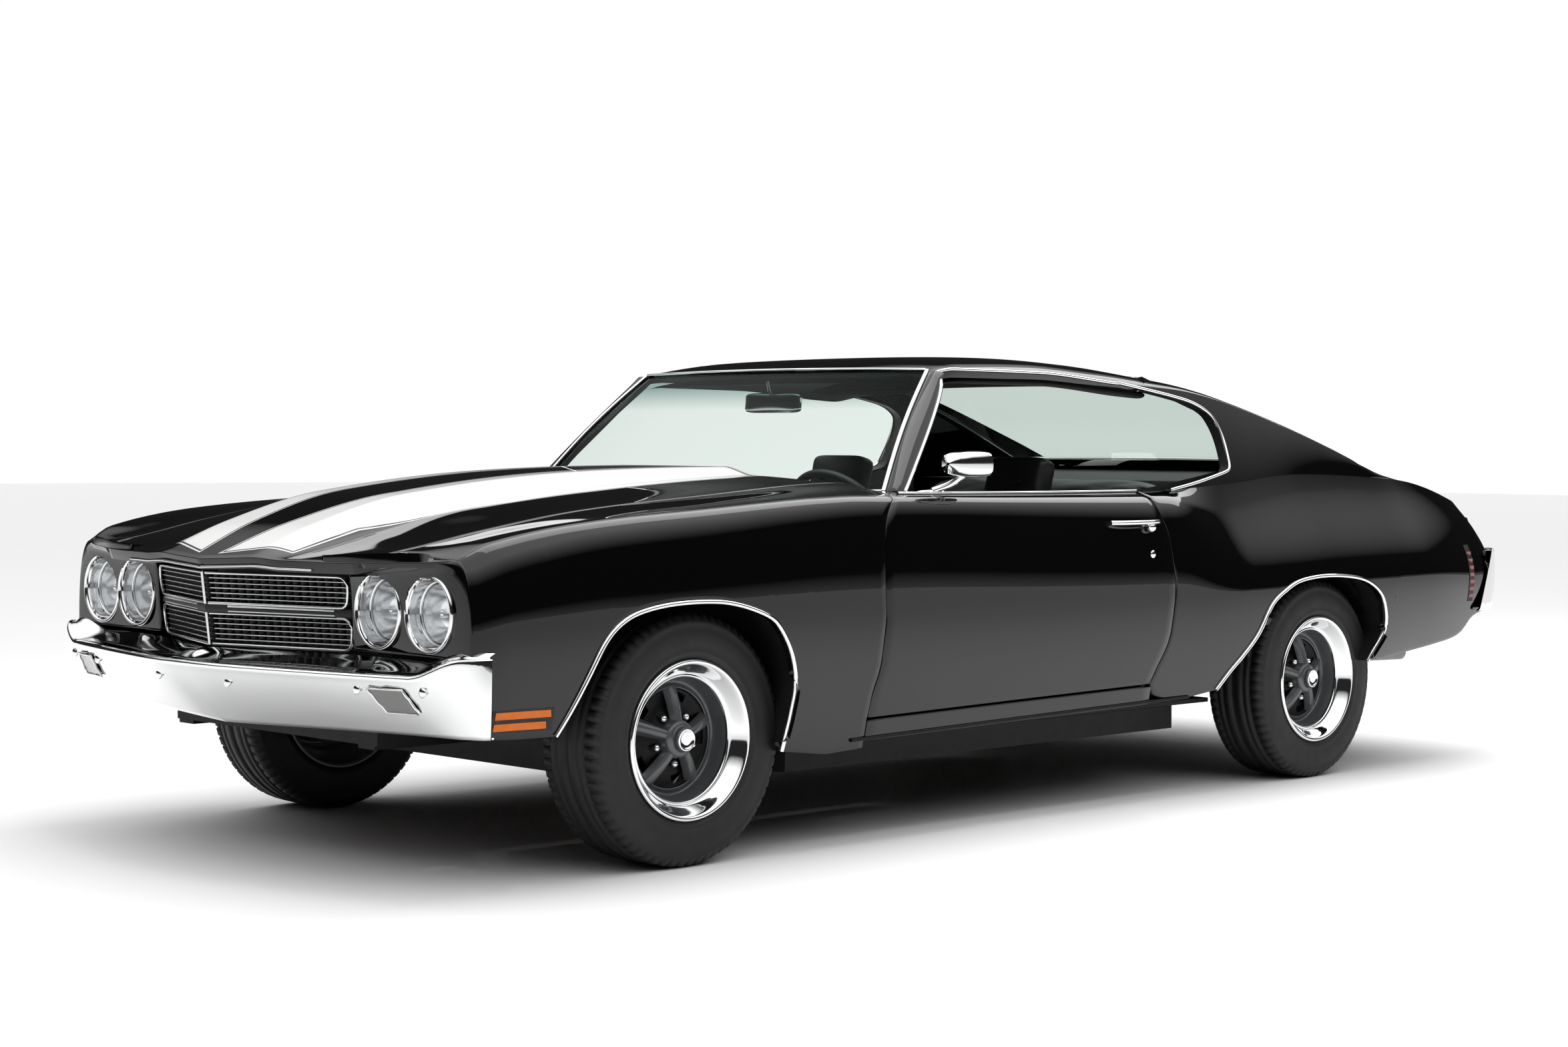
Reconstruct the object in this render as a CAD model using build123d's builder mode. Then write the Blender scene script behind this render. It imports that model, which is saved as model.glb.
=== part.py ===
"""Two-door hardtop coupe of about 1970, built up from named panels on a frame. Sizes in millimetres."""
import os
from collections import namedtuple
from math import atan2, cos, degrees, radians, sin

from build123d import *

os.makedirs("parts", exist_ok=True)

# Driving sizes: X forward, Y to the car's left, Z up, origin on the ground under the middle of the car
LENGTH = 5008
WHEELBASE = 2845
FRONT_OVERHANG = 977
HALF_WIDTH = 957
TYRE_R = 330
TYRE_WIDTH = 228
BEAD_R = 192
RIM_LIP_R = 208
RIM_WIDTH = 200
TRACK_HALF = 761
KINGPIN_Y = 676
SPINDLE_R = 30
RUNNING_GAP = 0.3
SHUT_GAP = 6
WALL = 26
GLASS = 6
BELT_Z = 956
SILL_Z = 352
DOOR_INNER_Y = 800

FRONT_AXLE_X = LENGTH / 2 - FRONT_OVERHANG
REAR_AXLE_X = FRONT_AXLE_X - WHEELBASE
FRONT_X = LENGTH / 2
REAR_X = -LENGTH / 2


def fx(ahead):
    """X of a place measured ahead of the front axle."""
    return FRONT_AXLE_X + ahead


def rx(ahead):
    """X of a place measured ahead of the rear axle."""
    return REAR_AXLE_X + ahead


def across(x):
    """Plane across the car: its own x runs to the left and its own y up."""
    return Plane(origin=(x, 0, 0), x_dir=(0, 1, 0), z_dir=(1, 0, 0))


def side_plane(y):
    """Plane along the car seen from the side: its own x runs forward and its own y up."""
    return Plane(origin=(0, y, 0), x_dir=(1, 0, 0), z_dir=(0, -1, 0))


# Body side stations: height and half width at the low edge, the widest line and the crown of the fender line
Station = namedtuple("Station", "x z_low y_low z_waist y_waist z_crown y_crown z_centre")
BODY = [
    Station(fx(930), 380, 830, 600, 880, 780, 800, 782),
    Station(fx(763), 380, 850, 600, 893, 802, 825, 815),
    Station(fx(658), 375, 885, 620, 925, 850, 850, 848),
    Station(fx(378), 330, 900, 630, 944, 897, 868, 890),
    Station(fx(0), 300, 905, 630, 948, 925, 870, 937),
    Station(fx(-662), 270, 895, 620, 935, 958, 862, 990),
    Station(fx(-1322), 285, 893, 615, 928, 956, 838, 965),
    Station(rx(882), 295, 895, 620, 932, 958, 815, 962),
    Station(rx(422), 305, 900, 640, 945, 980, 800, 998),
    Station(rx(0), 320, 905, 650, 953, 1010, 785, 1050),
    Station(rx(-578), 400, 890, 660, 945, 993, 770, 1016),
    Station(rx(-1028), 430, 860, 640, 900, 912, 750, 924),
    Station(rx(-1118), 480, 830, 640, 872, 800, 760, 812),
]


def body_outline(station, inset, drop, x):
    """Closed outline of the body across the car at one station."""
    y_low = station.y_low - inset
    z_low = station.z_low - drop
    y_waist = station.y_waist - inset
    y_crown = station.y_crown - inset
    z_crown = station.z_crown - inset
    z_centre = station.z_centre - inset
    y_tuck = y_waist - 0.35 * (y_waist - y_low)
    z_tuck = z_low + 0.45 * (station.z_waist - z_low)
    y_round = y_waist - 0.24 * (y_waist - y_crown)
    z_round = station.z_waist + 0.62 * (z_crown - station.z_waist)
    with BuildSketch(across(x), mode=Mode.PRIVATE) as outline:
        with BuildLine():
            Line((0, z_low), (y_low, z_low))
            ThreePointArc((y_low, z_low), (y_tuck, z_tuck), (y_waist, station.z_waist))
            ThreePointArc((y_waist, station.z_waist), (y_round, z_round), (y_crown, z_crown))
            Line((y_crown, z_crown), (0, z_centre))
            mirror(about=Plane.YZ)
        make_face()
    return outline.sketch


def body_solid(inset, drop, front_trim, rear_trim):
    """Solid body up to the belt line, or its hollow when an inset is given."""
    sections = []
    last = len(BODY) - 1
    for place, station in enumerate(BODY):
        x = station.x
        if place == 0:
            x -= front_trim
        if place == last:
            x += rear_trim
        sections.append(body_outline(station, inset, drop, x))
    with BuildPart(mode=Mode.PRIVATE) as solid:
        loft(sections, ruled=True)
    return solid.part


# Roof and pillars, seen from the side and across the car
WINDSHIELD_BASE = (fx(-775), 945)
WINDSHIELD_TOP = (fx(-1132), 1316)
ROOF_PEAK = (rx(1167), 1358)
ROOF_REAR = (rx(617), 1322)
SAILS = [(rx(133), 1240), (rx(-183), 1147), (rx(-520), 1036)]
VALLEY = [(rx(150), 1190), (rx(-120), 1094), (rx(-330), 1018)]
ROOF_BASE_Z = 925
ROOF_BASE_Y = 826
ROOF_RAIL = (660, 1284)
PILLAR_WALL = 42


def greenhouse(inset, tail=SAILS):
    """Roof with its pillars as a solid, or its hollow when an inset is given; its tail follows the sails or the glass."""
    upper, lower, end = tail
    base_z = ROOF_BASE_Z - 3 * inset
    with BuildPart(mode=Mode.PRIVATE) as solid:
        with BuildSketch(side_plane(0)):
            with BuildLine():
                Line((WINDSHIELD_BASE[0] + 10, base_z), WINDSHIELD_BASE)
                Line(WINDSHIELD_BASE, WINDSHIELD_TOP)
                ThreePointArc(WINDSHIELD_TOP, ROOF_PEAK, ROOF_REAR)
                ThreePointArc(ROOF_REAR, upper, lower)
                Line(lower, end)
                Line(end, (end[0] - 10, base_z))
                Line((end[0] - 10, base_z), (WINDSHIELD_BASE[0] + 10, base_z))
            make_face()
            if inset:
                offset(amount=-inset, kind=Kind.INTERSECTION)
        extrude(amount=HALF_WIDTH, both=True)
        with BuildSketch(across(0)):
            with BuildLine():
                rail_y = ROOF_RAIL[0] - inset
                rail_z = ROOF_RAIL[1] - 0.4 * inset
                lean = (ROOF_BASE_Y - ROOF_RAIL[0]) / (ROOF_RAIL[1] - ROOF_BASE_Z)
                low_y = rail_y + lean * (rail_z - base_z)
                Line((-low_y, base_z), (low_y, base_z))
                Line((low_y, base_z), (rail_y, rail_z))
                ThreePointArc((rail_y, rail_z), (rail_y - 60, rail_z + 42), (rail_y - 160, rail_z + 58))
                ThreePointArc((rail_y - 160, rail_z + 58), (0, ROOF_PEAK[1] + 6 - inset), (160 - rail_y, rail_z + 58))
                ThreePointArc((160 - rail_y, rail_z + 58), (60 - rail_y, rail_z + 42), (-rail_y, rail_z))
                Line((-rail_y, rail_z), (-low_y, base_z))
            make_face()
        extrude(amount=LENGTH / 2, both=True, mode=Mode.INTERSECT)
    return solid.part


def prism_y(points, y_from, y_to, grow=0):
    """Prism with a straight-sided outline seen from the side, from one half width to another."""
    with BuildPart(mode=Mode.PRIVATE) as solid:
        with BuildSketch(side_plane(y_from)):
            with BuildLine():
                Polyline(*points, close=True)
            make_face()
            if grow:
                offset(amount=grow, kind=Kind.INTERSECTION)
        extrude(amount=y_from - y_to)
    return solid.part


def prism_z(points, z_from, z_to):
    """Prism with a straight-sided outline seen from above, from one height to another."""
    with BuildPart(mode=Mode.PRIVATE) as solid:
        with BuildSketch(Plane.XY.offset(z_from)):
            with BuildLine():
                Polyline(*points, close=True)
            make_face()
        extrude(amount=z_to - z_from)
    return solid.part


def slab(x_from, x_to, y_from, y_to, z_from, z_to):
    """Plain box between limits."""
    with BuildPart(mode=Mode.PRIVATE) as solid:
        with Locations(((x_from + x_to) / 2, (y_from + y_to) / 2, (z_from + z_to) / 2)):
            Box(abs(x_to - x_from), abs(y_to - y_from), abs(z_to - z_from))
    return solid.part


def rod(start, end, radius):
    """Round bar between two points."""
    along = Vector(*end) - Vector(*start)
    with BuildPart(mode=Mode.PRIVATE) as bar:
        with BuildSketch(Plane(origin=start, z_dir=along)):
            Circle(radius)
        extrude(amount=along.length)
    return bar.part


# Plan of the nose: a shallow V at the hood and grille, square at the lamps
NOSE_CENTRE_X = fx(915)
GRILLE_END = (fx(766), 450)
LAMP_PLAN = (fx(752), 700)
NOSE_CORNER = (fx(722), 860)
HOOD_FRONT_Y = 600
HOOD_REAR_Y = 690
HOOD_REAR_X = fx(-728)
HEADER_DEPTH = 70
HEADER_LOW_Z = 572


def nose_plan(back):
    """Everything behind the nose line, moved back by a distance."""
    half = [(NOSE_CENTRE_X - back, 0), (GRILLE_END[0] - back, GRILLE_END[1]),
            (LAMP_PLAN[0] - back, LAMP_PLAN[1]), (NOSE_CORNER[0] - back, NOSE_CORNER[1]),
            (NOSE_CORNER[0] - back - 60, HALF_WIDTH + 40)]
    other = [(x, -y) for x, y in reversed(half[1:])]
    tail = [(REAR_X - 100, -HALF_WIDTH - 40), (REAR_X - 100, HALF_WIDTH + 40)]
    return prism_z(half[::-1] + other[::-1] + tail, 0, 1500)


outer_body = body_solid(0, 0, 0, 0) & nose_plan(0)
inner_body = body_solid(WALL, 90, 60, 40)
shell = outer_body - inner_body

# Side-view outlines of the doors and wheel openings
DOOR_OUTLINE = [(fx(-749), BELT_Z + 60), (fx(-749), BELT_Z), (fx(-702), 915), (fx(-677), 870), (fx(-665), 800),
                (fx(-665), 560), (fx(-652), 487), (fx(-628), 415), (fx(-616), SILL_Z),
                (rx(970), SILL_Z + 14), (rx(938), 421), (rx(896), 501), (rx(879), 582), (rx(872), 664),
                (rx(880), 747), (rx(890), 831), (rx(912), BELT_Z), (rx(912), BELT_Z + 60)]
FRONT_ARCH = [(fx(500), 200), (fx(480), 385), (fx(446), 447), (fx(405), 526), (fx(363), 598), (fx(319), 641),
              (fx(254), 671), (fx(142), 689), (fx(4), 691), (fx(-91), 679), (fx(-187), 651), (fx(-240), 621),
              (fx(-290), 550), (fx(-318), 470), (fx(-322), 399), (fx(-318), 329), (fx(-310), 200)]
REAR_ARCH = [(rx(690), 200), (rx(655), 328), (rx(590), 385), (rx(518), 436), (rx(446), 501), (rx(375), 595),
             (rx(301), 640), (rx(226), 666), (rx(112), 678), (rx(-5), 677), (rx(-125), 664), (rx(-207), 637),
             (rx(-268), 595), (rx(-303), 525), (rx(-308), 470), (rx(-290), 414), (rx(-270), 381), (rx(-250), 200)]


left_room = prism_y(DOOR_OUTLINE, DOOR_INNER_Y - SHUT_GAP, HALF_WIDTH + 50, SHUT_GAP)
left_room = left_room & slab(REAR_X, FRONT_X, 0, HALF_WIDTH + 50, 0, BELT_Z + SHUT_GAP)
door_room = left_room + left_room.mirror(Plane.XZ)
arches = prism_y(FRONT_ARCH, -HALF_WIDTH - 50, HALF_WIDTH + 50) + prism_y(REAR_ARCH, -HALF_WIDTH - 50, HALF_WIDTH + 50)


# Regions that split the shell into panels
SEAM_X = fx(-640)
COWL_X = fx(-770)
BODY_SIDE = prism_y([(REAR_X - 100, 0), (SEAM_X, 0), (SEAM_X, 400), (COWL_X, 400), (COWL_X, 1500), (REAR_X - 100, 1500)],
                    -HALF_WIDTH - 50, HALF_WIDTH + 50)
HOOD_LOW_Z = 750
DECK_FRONT_X = rx(-285)
LID_PIN_R = 4
LID_PIN_OFF = 6
HOOD_PIN_Y = 540
HOOD_PIN_Z = 966
LID_PIN_Y = 450
LID_PIN_Z = 1023
DECK_REAR_X = rx(-1072)
DECK_HALF = 640


def hood_plan(grow):
    """Hood outline seen from above."""
    return [(HOOD_REAR_X - grow, -HOOD_REAR_Y - grow), (fx(730), -HOOD_FRONT_Y - grow), (fx(980), -HOOD_FRONT_Y - grow),
            (fx(980), HOOD_FRONT_Y + grow), (fx(730), HOOD_FRONT_Y + grow), (HOOD_REAR_X - grow, HOOD_REAR_Y + grow)]


def deck_plan(grow):
    """Trunk lid outline seen from above."""
    return [(DECK_FRONT_X + 4.5 * grow, -DECK_HALF - grow), (DECK_FRONT_X + 4.5 * grow, DECK_HALF + grow),
            (DECK_REAR_X - grow, DECK_HALF + grow - 30), (DECK_REAR_X - grow, 30 - DECK_HALF - grow)]


SIDE_WINDOW = [(fx(-815), 880), (fx(-1185), 1270), (rx(1222), 1277), (rx(829), 1264), (rx(550), 1230), (rx(402), 1190),
               (rx(310), 1125), (rx(272), 1062), (rx(372), 1042), (rx(462), 1015), (rx(605), 980), (rx(745), 962),
               (rx(912) - SHUT_GAP, BELT_Z), (rx(912) - SHUT_GAP, 880)]
BACK_GLASS = [(rx(598), -545), (rx(598), 545), (rx(-215), 620), (rx(-215), -620)]
NOTCH = [(rx(610), -575), (rx(610), 575), (rx(-228), 648), (rx(-900), 655), (rx(-900), -655), (rx(-228), -648)]
NOTCH_WALL = [(rx(650), -615), (rx(650), 615), (rx(-228), 688), (rx(-900), 695), (rx(-900), -695), (rx(-228), -688)]


def roof_solid(inset, plan):
    """Roof, pillars and sails with the valley of the rear window let in between the sails."""
    return greenhouse(inset) - (prism_z(plan, 880, 1500) - greenhouse(inset, VALLEY))


SHIELD_PLAN_LOW = 760
SHIELD_PLAN_TOP = 590
SHIELD_MARGIN = 26


def shield_opening(fit):
    """Windshield opening as a prism square to the glass."""
    lean = degrees(atan2(WINDSHIELD_TOP[1] - WINDSHIELD_BASE[1], WINDSHIELD_TOP[0] - WINDSHIELD_BASE[0]))
    rise = Vector(cos(radians(lean)), 0, sin(radians(lean)))
    height = ((WINDSHIELD_TOP[0] - WINDSHIELD_BASE[0]) ** 2 + (WINDSHIELD_TOP[1] - WINDSHIELD_BASE[1]) ** 2) ** 0.5
    plane = Plane(origin=(WINDSHIELD_BASE[0], 0, WINDSHIELD_BASE[1]), x_dir=(0, 1, 0),
                  z_dir=Vector(0, 1, 0).cross(rise))
    low = SHIELD_MARGIN + fit
    top = height - SHIELD_MARGIN - fit
    with BuildPart(mode=Mode.PRIVATE) as solid:
        with BuildSketch(plane):
            with BuildLine():
                Polyline((-SHIELD_PLAN_LOW + 30 + fit, low), (SHIELD_PLAN_LOW - 30 - fit, low),
                         (SHIELD_PLAN_TOP - fit, top), (fit - SHIELD_PLAN_TOP, top), close=True)
            make_face()
        extrude(amount=150, both=True)
    return solid.part


PILLAR_IN = 735
PILLAR_OUT = 790

with BuildPart() as body_shell:
    add(shell & BODY_SIDE)
    add(slab(rx(700), SEAM_X, 735, 906, 262, SILL_Z - SHUT_GAP - 8) & outer_body)
    add(slab(rx(700), SEAM_X, -735, -906, 262, SILL_Z - SHUT_GAP - 8) & outer_body)
    add(slab(rx(335), fx(-815), -770, 770, 850, 1100), mode=Mode.SUBTRACT)
    add(slab(rx(335), COWL_X + 60, -690, 690, 0, 850), mode=Mode.SUBTRACT)
    add(shield_opening(0), mode=Mode.SUBTRACT)
    for side in (-1, 1):
        add(slab(fx(-850), COWL_X - 1, side * PILLAR_IN, side * PILLAR_OUT, 300, 950))
        add(slab(rx(700), rx(905), side * PILLAR_IN, side * PILLAR_OUT, 300, 948))
    add((roof_solid(0, NOTCH) - roof_solid(PILLAR_WALL, NOTCH_WALL) - prism_y(SIDE_WINDOW, -HALF_WIDTH, HALF_WIDTH)
         - prism_z(BACK_GLASS, 900, 1400) - shield_opening(0) - slab(rx(-900), rx(-228), -655, 655, 900, 1400)
         - inner_body) & BODY_SIDE)
    add(door_room, mode=Mode.SUBTRACT)
    add(prism_z(deck_plan(SHUT_GAP), 800, 1100), mode=Mode.SUBTRACT)
    add(arches, mode=Mode.SUBTRACT)
    for side in (-1, 1):
        for y in (side * (HOOD_PIN_Y - 30), side * (HOOD_PIN_Y + 30)):
            add(slab(COWL_X - 12, HOOD_REAR_X - LID_PIN_OFF + 3, y - 5, y + 5, HOOD_PIN_Z - 8, HOOD_PIN_Z + 3))
        add(rod((HOOD_REAR_X - LID_PIN_OFF, side * HOOD_PIN_Y - 32, HOOD_PIN_Z), (HOOD_REAR_X - LID_PIN_OFF, side * HOOD_PIN_Y + 32, HOOD_PIN_Z), LID_PIN_R))
        for y in (side * (LID_PIN_Y - 30), side * (LID_PIN_Y + 30)):
            add(slab(DECK_FRONT_X + LID_PIN_OFF - 3, DECK_FRONT_X + 46, y - 5, y + 5, LID_PIN_Z - 8, LID_PIN_Z + 3))
        add(rod((DECK_FRONT_X + LID_PIN_OFF, side * LID_PIN_Y - 32, LID_PIN_Z), (DECK_FRONT_X + LID_PIN_OFF, side * LID_PIN_Y + 32, LID_PIN_Z), LID_PIN_R))

with BuildPart() as windshield:
    add((greenhouse(10) - greenhouse(10 + GLASS)) & shield_opening(RUNNING_GAP))

with BuildPart() as rear_window:
    low_fit = [(x + (RUNNING_GAP if x < rx(0) else -RUNNING_GAP), y * (1 - RUNNING_GAP / 600)) for x, y in BACK_GLASS]
    add((greenhouse(10, VALLEY) - greenhouse(10 + GLASS, VALLEY)) & prism_z(low_fit, 900, 1400))
    add(slab(rx(-300), rx(-200), -700, 700, 900, 950), mode=Mode.SUBTRACT)

with BuildPart() as hood:
    add(shell & prism_z(hood_plan(0), HOOD_LOW_Z, 1100))
    Dome = namedtuple("Dome", "x z_base z_top half_base half_top")
    DOME = [Dome(fx(800), 770, 792, 300, 190), Dome(fx(413), 872, 948, 330, 205), Dome(fx(-139), 930, 1012, 335, 215),
            Dome(HOOD_REAR_X, 975, 1030, 340, 225)]
    for d in DOME:
        with BuildSketch(across(d.x)):
            with BuildLine():
                Polyline((-d.half_base, d.z_base), (d.half_base, d.z_base), (d.half_top, d.z_top), (-d.half_top, d.z_top),
                         close=True)
            make_face()
    loft(ruled=True)
    add(inner_body, mode=Mode.SUBTRACT)
    for side in (-1, 1):
        add(slab(HOOD_REAR_X - LID_PIN_OFF - 5, HOOD_REAR_X + 20, side * HOOD_PIN_Y - 20, side * HOOD_PIN_Y + 20, HOOD_PIN_Z - 9, HOOD_PIN_Z + 5))
        add(rod((HOOD_REAR_X - LID_PIN_OFF, side * HOOD_PIN_Y - 30, HOOD_PIN_Z), (HOOD_REAR_X - LID_PIN_OFF, side * HOOD_PIN_Y + 30, HOOD_PIN_Z),
                LID_PIN_R + RUNNING_GAP), mode=Mode.SUBTRACT)

with BuildPart() as trunk_lid:
    add(shell & prism_z(deck_plan(0), 820, 1100))
    for side in (-1, 1):
        add(slab(DECK_FRONT_X - 20, DECK_FRONT_X + LID_PIN_OFF + 5, side * LID_PIN_Y - 20, side * LID_PIN_Y + 20, LID_PIN_Z - 9, LID_PIN_Z + 5))
        add(rod((DECK_FRONT_X + LID_PIN_OFF, side * LID_PIN_Y - 30, LID_PIN_Z), (DECK_FRONT_X + LID_PIN_OFF, side * LID_PIN_Y + 30, LID_PIN_Z),
                LID_PIN_R + RUNNING_GAP), mode=Mode.SUBTRACT)

DOOR_TOP_Z = BELT_Z - 2
DOOR_SKIN = 12
DOOR_SETBACK = 14
HINGE_X = fx(-585)
HINGE_Y = 905
HINGE_ZS = (490, 690)
HINGE_PIN_R = 7
HINGE_EYE_R = 11
fender_room = nose_plan(HEADER_DEPTH + 1) - BODY_SIDE - prism_z(hood_plan(SHUT_GAP), 700, 1100)
with BuildPart() as left_fender:
    panel = shell & fender_room & slab(REAR_X, FRONT_X, 590, HALF_WIDTH + 50, 0, 1200)
    add(max((panel - door_room - arches).solids(), key=lambda piece: piece.volume))
    for z in HINGE_ZS:
        add(slab(fx(-665), fx(-555), 800, HINGE_Y + HINGE_EYE_R + 1, z - 36, z + 36), mode=Mode.SUBTRACT)
        add(rod((HINGE_X, HINGE_Y, z - 40), (HINGE_X, HINGE_Y, z + 40), HINGE_PIN_R))
        for level in (z - 36, z + 36):
            add(slab(HINGE_X - 14, HINGE_X + 14, HINGE_Y - 12, HINGE_Y + 14, level - 6, level + 6))

with BuildPart() as right_fender:
    mirror(left_fender.part, about=Plane.XZ)

with BuildPart() as left_door:
    skin = (outer_body - body_solid(DOOR_SKIN, 0, 0, 0)) & prism_y(DOOR_OUTLINE, DOOR_INNER_Y, HALF_WIDTH + 50)
    core = outer_body & prism_y(DOOR_OUTLINE, DOOR_INNER_Y, HALF_WIDTH + 50, -DOOR_SETBACK)
    add((skin + core) & slab(REAR_X, FRONT_X, 0, HALF_WIDTH + 50, 0, DOOR_TOP_Z))
    for z in HINGE_ZS:
        add(rod((HINGE_X, HINGE_Y, z - 22), (HINGE_X, HINGE_Y, z + 22), HINGE_EYE_R))
        add(slab(HINGE_X - 7, HINGE_X + 7, 812, HINGE_Y - 2, z - 18, z + 18))
        add(slab(fx(-690), HINGE_X + 7, 812, 826, z - 18, z + 18))
        add(rod((HINGE_X, HINGE_Y, z - 30), (HINGE_X, HINGE_Y, z + 30), HINGE_PIN_R + RUNNING_GAP), mode=Mode.SUBTRACT)

    add(slab(rx(940), rx(1170), 870, 916, 862, 880) - outer_body)

with BuildPart() as right_door:
    mirror(left_door.part, about=Plane.XZ)


# Nose: header panel with lamp and grille openings, grille, lamps and bumper
LAMP_Z = 678
LAMP_YS = (556, 750)
LAMP_R = 73
BEZEL_R = 92
GRILLE_HALF = 438
GRILLE_LOW_Z = 566
GRILLE_TOP_Z = 752
GRILLE_MID = (650, 672)

header_block = (outer_body - nose_plan(HEADER_DEPTH)) & slab(0, FRONT_X, -HALF_WIDTH, HALF_WIDTH, HEADER_LOW_Z - 10, 900)
with BuildPart() as header_panel:
    add(header_block)
    add(prism_z(hood_plan(SHUT_GAP), HOOD_LOW_Z - SHUT_GAP, 1100), mode=Mode.SUBTRACT)
    for side in (-1, 1):
        for lamp_y in LAMP_YS:
            with Locations(Location((fx(720), side * lamp_y, LAMP_Z), (0, 90, 0))):
                Cylinder(BEZEL_R, 300, mode=Mode.SUBTRACT)
    add(slab(fx(600), FRONT_X, -GRILLE_HALF, GRILLE_HALF, GRILLE_LOW_Z, GRILLE_TOP_Z - 14), mode=Mode.SUBTRACT)

with BuildPart() as headlamp_bezels:
    for side in (-1, 1):
        for lamp_y in LAMP_YS:
            with Locations(Location((fx(706), side * lamp_y, LAMP_Z), (0, 90, 0))):
                Cylinder(BEZEL_R - RUNNING_GAP, 66)
                Cylinder(LAMP_R, 80, mode=Mode.SUBTRACT)

with BuildPart() as headlamps:
    for side in (-1, 1):
        for lamp_y in LAMP_YS:
            with Locations(Location((fx(700), side * lamp_y, LAMP_Z), (0, 90, 0))):
                Cylinder(LAMP_R - RUNNING_GAP, 60)

GRILLE_BAR = 7
GRILLE_DEPTH = 24
GRILLE_SWEEP = degrees(atan2(NOSE_CENTRE_X - GRILLE_END[0], GRILLE_END[1]))
with BuildPart() as grille:
    for side in (-1, 1):
        half_run = (GRILLE_HALF - 4) / cos(radians(GRILLE_SWEEP))
        base = Plane(origin=(NOSE_CENTRE_X - 42, 0, 0), x_dir=(-side * sin(radians(GRILLE_SWEEP)) * side, side * cos(radians(GRILLE_SWEEP)), 0),
                     z_dir=(cos(radians(GRILLE_SWEEP)), side * sin(radians(GRILLE_SWEEP)), 0))
        flip = 1 if base.y_dir.Z > 0 else -1
        with BuildSketch(base):
            for low, high in ((GRILLE_LOW_Z + RUNNING_GAP, GRILLE_MID[0]), (GRILLE_MID[1], GRILLE_TOP_Z - 14 - RUNNING_GAP)):
                mid = (low + high) / 2
                with Locations((half_run / 2, flip * mid)):
                    Rectangle(half_run, high - low)
                    Rectangle(half_run - 2 * GRILLE_BAR, high - low - 2 * GRILLE_BAR, mode=Mode.SUBTRACT)
                    with GridLocations(0, (high - low) / 5, 1, 4):
                        Rectangle(half_run, 4)
                    with GridLocations(half_run / 10, 0, 9, 1):
                        Rectangle(5, high - low)
            with Locations((half_run / 2, flip * (GRILLE_MID[0] + GRILLE_MID[1]) / 2)):
                Rectangle(half_run, GRILLE_MID[1] - GRILLE_MID[0])
        extrude(amount=-GRILLE_DEPTH)

BUMPER_LOW_Z = 372
BUMPER_RIDGE_Z = 528
BUMPER_TOP_Z = 558
BUMPER_YS = (0, 160, 396, 640, 750, 848)
BUMPER_LOW = [fx(830), fx(812), fx(780), fx(750), fx(742), fx(738)]
BUMPER_LOW_BACK = [fx(796), fx(778), fx(746), fx(716), fx(708), fx(700)]
BUMPER_RIDGE = [FRONT_X, fx(970), fx(925), fx(868), fx(838), fx(806)]
BUMPER_RIDGE_BACK = [fx(880), fx(850), fx(790), fx(760), fx(748), fx(738)]
BUMPER_LEDGE = [fx(925), fx(880), fx(815), fx(790), fx(776), fx(768)]
BUMPER_LEDGE_BACK = [fx(870), fx(825), fx(760), fx(740), fx(735), fx(730)]
PARK_Y = (640, 790)


def both_sides(front_line, back_line):
    """Closed plan outline from a left half given as a front line and a back line."""
    return ([(x, y) for x, y in front_line] + [(x, y) for x, y in reversed(back_line)]
            + [(x, -y) for x, y in back_line[1:]] + [(x, -y) for x, y in reversed(front_line[1:])])


def bumper_section(front, back, end_y, z):
    """Plan of the front bumper at one height, from the centre out to its wrapped end."""
    front_line = list(zip(front, BUMPER_YS)) + [(fx(710), end_y)]
    back_line = list(zip(back, BUMPER_YS)) + [(fx(692), end_y - 36)]
    with BuildSketch(Plane.XY.offset(z), mode=Mode.PRIVATE) as plan:
        with BuildLine():
            Polyline(*both_sides(front_line, back_line), close=True)
        make_face()
    return plan.sketch


with BuildPart(mode=Mode.PRIVATE) as bumper_form:
    loft([bumper_section(BUMPER_LOW, BUMPER_LOW_BACK, 932, BUMPER_LOW_Z),
          bumper_section(BUMPER_RIDGE, BUMPER_RIDGE_BACK, 945, BUMPER_RIDGE_Z),
          bumper_section(BUMPER_LEDGE, BUMPER_LEDGE_BACK, 938, BUMPER_TOP_Z)], ruled=True)
bumper_bar = bumper_form.part
park_slot = slab(fx(680), FRONT_X, PARK_Y[0], PARK_Y[1], 432, 508)
with BuildPart() as front_bumper:
    add(bumper_bar)
    add(park_slot, mode=Mode.SUBTRACT)
    mirror(park_slot, about=Plane.XZ, mode=Mode.SUBTRACT)
    for side in (-1, 1):
        add(slab(fx(690), fx(783), side * 385, side * 445, 386, 410))

with BuildPart() as parking_lamps:
    fit = slab(fx(680), FRONT_X, PARK_Y[0] + RUNNING_GAP, PARK_Y[1] - RUNNING_GAP, 432 + RUNNING_GAP, 508 - RUNNING_GAP)
    add(fit & Pos(-14, 0, 0) * bumper_bar)
    mirror(about=Plane.XZ)

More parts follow.
